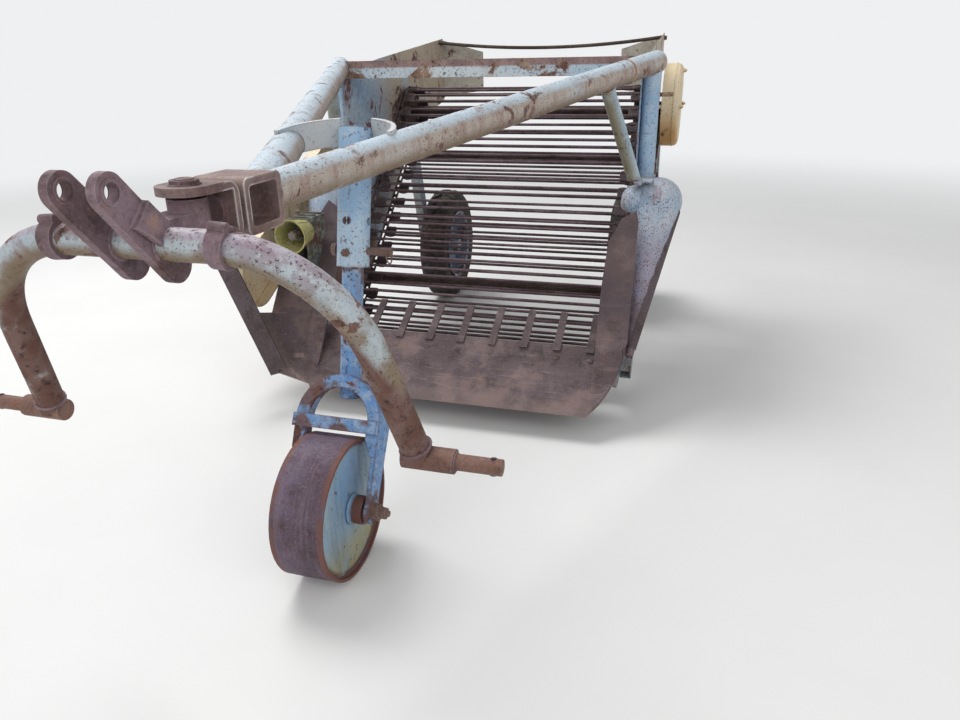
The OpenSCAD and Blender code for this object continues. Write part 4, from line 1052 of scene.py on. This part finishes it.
def yoke_trim():
    """The swivel pin's domed end and its weld, and the cross pin with its ring below."""
    shape = Shape(31)
    shape.lathe((0, SWIVEL_Y, 992.4), UP, PIN_CAP, 32)
    shape.weld_round((0, SWIVEL_Y, 984.6), UP, 24.4, 2.0, 48)
    low = vec(0, SWIVEL_Y, 868)
    shape.pipe([low + vec(-24, 0, 0), low + vec(24, 0, 0)], 2.6, 8)
    shape.pipe(circle(low + vec(30, 0, 0), (0, 1, 0.2), 6.5, 24), 2.4, 7, closed=True)
    shape.piece("Swivel_trim", "yoke", "rusty_steel", "purple")


def bow_trim():
    """The clevis plates' bushes, and the rings at the holes of the hitch pins."""
    shape = Shape(32)
    for x in (-38, 38):
        for d in (-1, 1):
            shape.washer(BOW_EYE + vec(x + d * 7.6, 0, 0), (d, 0, 0), 13.1, 18.5, 1.6, 36)
    for s in (1, -1):
        for d in (1, -1):
            shape.lathe((s * 505, PIN_Y, PIN_Z + d * 13.2), (0, 0, d), PIN_HOLE, 24)
    shape.piece("Bow_trim", "bow", "rusty_steel", "purple")


# The clevis doubler: how far along the plate, how far its lower edge stands off, and how low it reaches
DOUBLER = ((52, 0.3, -20), (60, 2.0, -19), (74, 5.0, -17), (96, 7.5, -16), (116, 8.5, -17), (134, 8.0, -20),
           (146, 6.5, -16))


def clevis_doubler():
    """A second plate on the outer face of each clevis plate, from half way down to the bow, open below."""
    shape = Shape(33)
    along = (BOW_TOP - BOW_EYE).normalized()
    across = vec(0, -along.z, along.y)
    if across.z < 0:
        across = -across
    face = 45.6
    for s in (1, -1):
        rings = []
        for t, gap, low in DOUBLER:
            c = BOW_EYE + along * t
            high = 26.6 if t < 130 else 26.6 - (t - 130) * 0.7
            outline = ((high, face), (high, face + 9.0), (high - 2, face + 10.4),
                       (low + 2, face + gap + 10.4), (low, face + gap + 9.0), (low, face + gap))
            rings.append([flip(c + across * n + vec(x, 0, 0), s) for n, x in outline])
        shape.rings(rings)
        edge = BOW_EYE + along * 51.4
        shape.weld([flip(edge + across * n + vec(45.8, 0, 0), s) for n in (-20, -8, 4, 16, 26)], 2.2)
    shape.piece("Clevis_doubler", "bow", "rusty_steel", "purple")


def shank_holes():
    """Lips of the holes in shank and sleeve, dark discs in their bores as painted shade, and the nuts of the
    axle and the sleeve.
    """
    lips, bores, nuts = Shape(34), Shape(35), Shape(36)
    out = vec(0, -RAKE.z, RAKE.y)
    for s, r in ((215, 37), (448, 24), (501, 24)):
        for d in (1, -1):
            place = SLEEVE_TOP - RAKE * s + out * d * r
            lips.lathe(place, out * d, HOLE_LIP, 28)
            # A dark disc inside each hole: painted shade
            bores.lathe(place, out * d, HOLE_BORE, 28)
    for s in (1, -1):
        nuts.bolt(DEPTH_AXLE + vec(s * 125, 0, 0), (s, 0, 0), 27, stud=7)
    nuts.bolt(SLEEVE_TOP - RAKE * 290 + out * 38.2, out, 17, stud=4, washer=False)
    lips.piece("Shank_hole_lips", "root", "blue_paint", "blue_paint")
    bores.piece("Shank_hole_bores", "root", "rusty_steel", "dark")
    nuts.piece("Axle_nuts", "root", "rusty_steel", "bolt")


def share_bolts():
    """The bolt heads in the share, and the smaller ones where it meets the wings."""
    shape = Shape(42)
    up = vec(0, -sin(SHARE_SLOPE), cos(SHARE_SLOPE))
    on = vec(0, cos(SHARE_SLOPE), sin(SHARE_SLOPE))
    for k in range(9):
        place = vec(-480 + 120 * k, SHARE_EDGE.y, SHARE_EDGE.z) + on * 236 + up * 8.1
        shape.lathe(place, up, [(13, -0.3), (12.4, 1.6), (9, 3.6), (4, 4.6), (0.01, 4.7)], 24)
    for x, lean in ((-540, 0.1), (540, -0.1)):
        for t in (120, 236):
            place = vec(x, SHARE_EDGE.y, SHARE_EDGE.z) + on * t + up * 10.4
            shape.lathe(place, up + vec(lean, 0, 0), [(10, -1.5), (9.6, 1.2), (6, 2.4), (0.01, 2.6)], 20)
    shape.piece("Share_bolts", "root", "rusty_steel", "share")


# Sheet metal


def fork_face():
    """The broad faces of the fork's bent arms, down to its scraper bar."""
    shape = Shape(40)
    up = vec(0, sin(FORK_LEAN), cos(FORK_LEAN))
    fore = vec(0, -cos(FORK_LEAN), sin(FORK_LEAN))
    centre = DEPTH_AXLE + up * 205
    bend = 103
    drops = [-78 + 13 * i for i in range(6)]
    path = [(centre - RIGHT * bend + up * drop, -RIGHT) for drop in drops]
    for i in range(25):
        t = radians(7.5 * i)
        out = RIGHT * -cos(t) + up * sin(t)
        path.append((centre + out * bend, out))
    path += [(centre + RIGHT * bend + up * drop, RIGHT) for drop in drops[::-1]]
    rings = []
    for k, (spot, out) in enumerate(path):
        taper = min(1.0, min(k, len(path) - 1 - k) / 3)
        wide = 8 + 17 * taper
        front = 34.2 + 1.6 * taper
        outline = ((7.0, front - 8), (7.0, front - 1.4), (5.8, front), (-wide + 1.6, front),
                   (-wide, front - 1.6), (-wide, front - 8))
        rings.append([spot + out * w + fore * h for w, h in outline])
    shape.rings(rings)
    shape.piece("Fork_arm_faces", "root", "blue_paint", "blue_paint")


def left_apron():
    """A bent plate that closes the gap between the left wing, the share's corner and the side coulter."""
    shape = Shape(43)
    back = vec(0, 3.6, 2.4)
    rings, outline = [], []
    for k in range(15):
        f = k / 14
        outer = vec(-604 - 84 * f, -660 - 14 * f, 134 + 226 * f)
        z = 88 + 222 * f
        ease = min(1, f / 0.3)
        inner = vec(-494 - 66 * ease, -632 + (93 + (z - 150) * 0.669) * ease, z)
        outline.append(outer)
        ring = []
        for i in range(9):
            g = i / 8
            belly = 10 * sin(pi * g) * f
            ring.append(outer.lerp(inner, g) + vec(0, -belly * 0.6, -belly * 0.5))
        rings.append(ring + [q + back for q in ring[::-1]])
    shape.rings(rings)
    shape.weld(outline, 2.8)
    shape.piece("Left_apron", "root", "rusty_steel", "share")


def tube_strap():
    """A strap round the right tube, near its top."""
    shape = Shape(37)
    band = ((0.2, -6), (1.5, -5.4), (1.7, -4.6), (1.7, 4.6), (1.5, 5.4), (0.2, 6))
    shape.lathe(TUBE_LOW.lerp(TUBE_TOP, 0.88), TUBE_ALONG, [(TUBE_R + lift, h) for lift, h in band], 72)
    shape.piece("Tube_strap", "root", "cream_paint", "tan_dark")


# The nose's cheek: radius round the nose's top, and X
CHEEK = ((36, 604), (46, 598), (54, 589), (58, 578), (58.4, 566), (57, 560), (54, 550), (48, 540),
         (40, 531.5), (29, 525), (15, 522), (2, 521.4))


def cheek_row(degrees, s):
    a = radians(degrees)
    return [flip((x, -77 - r * cos(a), 690 + r * sin(a)), s) for r, x in CHEEK]


def nose_cheeks():
    """The brow that each nose turns inwards over its wall, cut off square below."""
    shape = Shape(38)
    steps = 18
    n = len(CHEEK)
    for s in (1, -1):
        verts = [v for k in range(steps + 1) for v in cheek_row(-34 + 244 * k / steps, s)]
        low = len(verts)
        high = low + 1
        verts += [flip((604, -75, 690), s), flip((521.4, -77, 690), s)]
        faces = []
        for a in range(0, steps * n, n):
            faces += [(a + i, a + n + i, a + n + i + 1, a + i + 1) for i in range(n - 1)]
            faces += [(a, low, a + n), (a + n - 1, a + 2 * n - 1, high)]
        faces.append((low, *range(n), high))
        faces.append((high, *range(low - 1, low - 1 - n, -1), low))
        shape.add(verts, faces)
        shape.pipe(cheek_row(-34, s), 1.7, 8)
    shape.piece("Nose_cheeks", "root", "pale_blue_paint", "nose")


def nose_strips():
    """A dark rusty strip of sheet down the outer side of each nose, where that side lies in shade; its darkness
    is partly painted shade.
    """
    shape = Shape(39)
    back = -34
    for s in (1, -1):
        rings = []
        for k in range(25):
            f = k / 24
            t = NOSE_LONG * (0.04 + 0.90 * k / 24)
            r = NOSE_SMALL / cos(NOSE_FLARE) + tan(NOSE_FLARE) * t
            lead = 112 - 160 * f if f < 0.3 else 64 - 78 * (f - 0.3)
            lead += 2.5 * sin(k * 1.9) + 1.5 * sin(k * 4.1)
            points = [(lead + (back - lead) * i / 8, 2.6 if 0 < i < 8 else 2.0) for i in range(9)]
            ring = []
            for a, lift in [(lead, -0.6), *points, (back, -0.6)]:
                out = NOSE_SIDE * cos(radians(a)) + NOSE_FORE * sin(radians(a))
                ring.append(flip(NOSE_TIP + NOSE_ALONG * t + out * (r + lift), s))
            rings.append(ring)
        shape.rings(rings)
    shape.piece("Nose_strips", "root", "rusty_steel", "wing")

# Wheels


HUB_CAP = [(30, -4), (30, 5), (28, 9), (18, 12), (0.01, 13)]
RIM_LIP = [(157.4, -1), (163, 0.6), (170.5, 1.0), (173.2, 3.2), (172.4, 5.6), (168.0, 5.2), (160, 1.8),
           (157.4, 0.6)]
RIM_HOLE = [(21, -0.6), (20, 1.8), (17.5, 2.2), (16.5, 0.4)]
VALVE = [(4.4, 0), (4.4, 9), (3.2, 11), (3.2, 24), (3.8, 24.5), (3.8, 31), (0.01, 32)]
TYRE_HALF = [(165.4, 53), (170, 55.5), (180, 57.5), (196, 60.5), (214, 63.4), (232, 64.9), (246, 64.2),
             (257, 60.5), (264, 54), (268, 44), (270, 30), (270.6, 14), (270.8, 0)]
# Along a tread bar: X from the middle, lean in degrees, radius and width
TREAD = ((3, 0, 279.6, 15), (18, 4.0, 279.2, 16), (34, 7.0, 276.5, 17), (50, 8.6, 270.0, 18),
         (59, 9.0, 258.0, 17))
TREAD_BARS = 26


def rim_trim(side):
    """Wheel bolts, hub cap, rim lips, round holes and the valve."""
    s = 1 if side == "right" else -1
    shape = Shape(51 + s)
    hub = flip(WHEEL, s)
    for k in range(5):
        shape.bolt(hub + spoke(72 * k + 18, WHEEL_BOLTS_R, -s * 5.2), (-s, 0, 0), 19, stud=8)
        shape.bolt(hub + spoke(72 * k + 18, WHEEL_BOLTS_R, s * 3.2), (s, 0, 0), 19, washer=False)
    shape.lathe(hub + vec(-s * 55.2, 0, 0), (-s, 0, 0), HUB_CAP, 40)
    for k in range(3):
        shape.bolt(hub + spoke(120 * k, 37, -s * 55.4), (-s, 0, 0), 9, washer=False)
    for d in (-1, 1):
        shape.lathe(hub + vec(d * 59.4, 0, 0), (d, 0, 0), RIM_LIP, 96)
    for k in range(6):
        shape.lathe(hub + spoke(60 * k + 30, 112, -s * 5.4), (-s, 0, 0), RIM_HOLE, 32)
    shape.lathe(hub + vec(-s * 8, 0, 146), (-s, 0, -0.25), VALVE, 14)
    shape.piece("Rim_trim_" + side, "wheel_" + side, "blue_paint", "rim")


def tyre(side):
    """The tyre with its tread bars and the ribs of its side walls."""
    s = 1 if side == "right" else -1
    hub = flip(WHEEL, s)
    shape = Shape(61)
    shape.lathe(hub, RIGHT, TYRE_HALF + [(r, -h) for r, h in TYRE_HALF[-2::-1]] + TYRE_HALF[:1], 120)
    for k in range(TREAD_BARS):
        for d in (1, -1):
            start = 360 / TREAD_BARS * (k + (0.5 if d < 0 else 0))
            rings = []
            for x, lean, r, wide in TREAD:
                out = spoke(start + lean)
                way = vec(0, -out.z, out.y)
                c = hub + vec(d * x, 0, 0)
                outline = ((r - 14, -0.62), (r - 1.6, -0.5), (r, -0.38), (r, 0.38), (r - 1.6, 0.5),
                           (r - 14, 0.62))
                rings.append([c + out * high + way * wide * w for high, w in outline])
            shape.rings(rings)
    for d in (1, -1):
        for r, x in ((182, 58.6), (188, 59.9), (226, 65.0)):
            rib = [(r - 1.6, -1), (r - 0.8, 0.9), (r + 0.8, 0.9), (r + 1.6, -1)]
            shape.lathe(hub + vec(d * (x - 0.7), 0, 0), (d, 0, 0), rib, 96)
    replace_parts(shape.piece("Tyre_tread_" + side, "wheel_" + side, "tyre", "tyre", smooth=40), "tyre_" + side)


# The web


def loop_places():
    """The joints of the web's chain, as (y, z), by the same sums as the part's source."""
    head_r = WEB_PITCH * HEAD_PAIRS / (2 * pi)
    tail_r = WEB_PITCH * TAIL_PAIRS / (2 * pi)
    whole = WEB_PITCH * WEB_PAIRS
    guess = (whole - pi * (head_r + tail_r)) / 2
    taper = atan((head_r - tail_r) / guess)
    run = (whole - pi * (head_r + tail_r) - 2 * (head_r - tail_r) * taper) / 2
    over = head_r * (pi + 2 * taper)
    slope = radians(WEB_SLOPE)
    back = slope - 2 * taper
    go = vec(cos(slope), sin(slope))
    up = vec(-sin(slope), cos(slope))
    tail = Vector(TAIL)
    head = tail + go * run - up * (head_r - tail_r)
    out = []
    for i in range(WEB_PAIRS):
        t = i * WEB_PITCH
        if t < run:
            p = tail + up * tail_r + go * t
        elif t < run + over:
            a = slope + pi / 2 - (t - run) / head_r
            p = head + vec(cos(a), sin(a)) * head_r
        elif t < 2 * run + over:
            a = back - pi / 2
            p = head + vec(cos(a), sin(a)) * head_r - vec(cos(back), sin(back)) * (t - run - over)
        else:
            a = back - pi / 2 - (t - 2 * run - over) / tail_r
            p = tail + vec(cos(a), sin(a)) * tail_r
        out.append(p)
    return out


END_PLATE = [(-21, -22), (-15, -25), (15, -25), (21, -22), (22, -6), (22, 6), (21, 22), (15, 25), (-15, 25),
             (-21, 22), (-22, 6), (-22, -6)]
LINK = [(-43, -2), (-40, -6), (-33, -7), (-20, -5), (20, -5), (33, -7), (40, -6), (43, -2), (43, 2), (40, 6),
        (33, 7), (20, 5), (-20, 5), (-33, 7), (-40, 6), (-43, 2)]
PLATE_RIVET = [(4.6, 0), (4.3, 1.6), (2.8, 3.0), (0.01, 3.5)]


def web():
    """The web's rod pairs, their riveted end plates, and the links of both chains."""
    joints = loop_places()
    dice = random.Random(7)
    rods, plates, chain = Shape(71), Shape(72), Shape(73)
    for a, b in zip(joints, joints[1:] + joints[:1]):
        mid = (a + b) / 2
        d = vec(0, b.x - a.x, b.y - a.y).normalized()
        up = vec(0, -d.z, d.y)
        c = vec(0, mid.x, mid.y)
        for s in (1, -1):
            q = c + vec(s * (CHAIN_X - 33), 0, 0)
            plates.plate(END_PLATE, q - up * 4.2, RIGHT, d, 8.4, 1.2)
            for y in (-17, 17):
                plates.slab(q + d * y + up * 5.4, (20, 15, 4), d, up, 1.6)
                for x in (-14, 14):
                    plates.lathe(q + d * y + vec(x, 0, 0) + up * 4.1, up, PLATE_RIVET, 12)
            p = c + vec(s * CHAIN_X, 0, 0)
            for x in (-8.4, 8.4):
                chain.plate(LINK, p + vec(x - 2.2, 0, 0), d, up, 4.4, 0.7)
            chain.pipe([p + d * 39 + vec(x, 0, 0) for x in (-10.8, -4, 4, 10.8)], 5.2, 12)
            chain.pipe([p - d * 38 + vec(x, 0, 0) for x in (-5.8, 0, 5.8)], 6.8, 12)
            chain.slab(p, (12, 18, 5), d, up, 1.2)
        for y in (-17, 17):
            sag = dice.uniform(-0.8, 2.2)
            twist = dice.uniform(-0.8, 0.8)
            path = []
            for k in range(9):
                t = k / 8 * 2 - 1
                bow = 1 - t * t
                path.append(c + d * (y + twist * bow) - up * sag * bow + vec(t * (CHAIN_X - 18), 0, 0))
            rods.pipe(path, 5.5, 12)
    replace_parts(rods.piece("Web_rods", "root", "rusty_steel", "web"), "web")
    plates.piece("Web_end_plates", "root", "rusty_steel", "web_plate")
    chain.piece("Web_chain_links", "root", "rusty_steel", "web_plate")


def build_pieces():
    for build in (
        frame_welds, nose_seams, bow_welds, wheel_welds, frame_bolts, drum_bolts, drum_lap, chain_case_trim,
        gearbox_trim, pto, leg_pin_trim, sleeve_trim, yoke_trim, bow_trim, clevis_doubler, shank_holes,
        fork_face, left_apron, tube_strap, nose_cheeks, nose_strips, share_bolts,
    ):
        build()
    for side in ("left", "right"):
        rim_trim(side)
        tyre(side)
    web()


bpy.context.scene.view_settings.view_transform = "Standard"
make_camera()
make_light()
make_floor()
MATS = make_materials()
dress_nodes()
build_pieces()
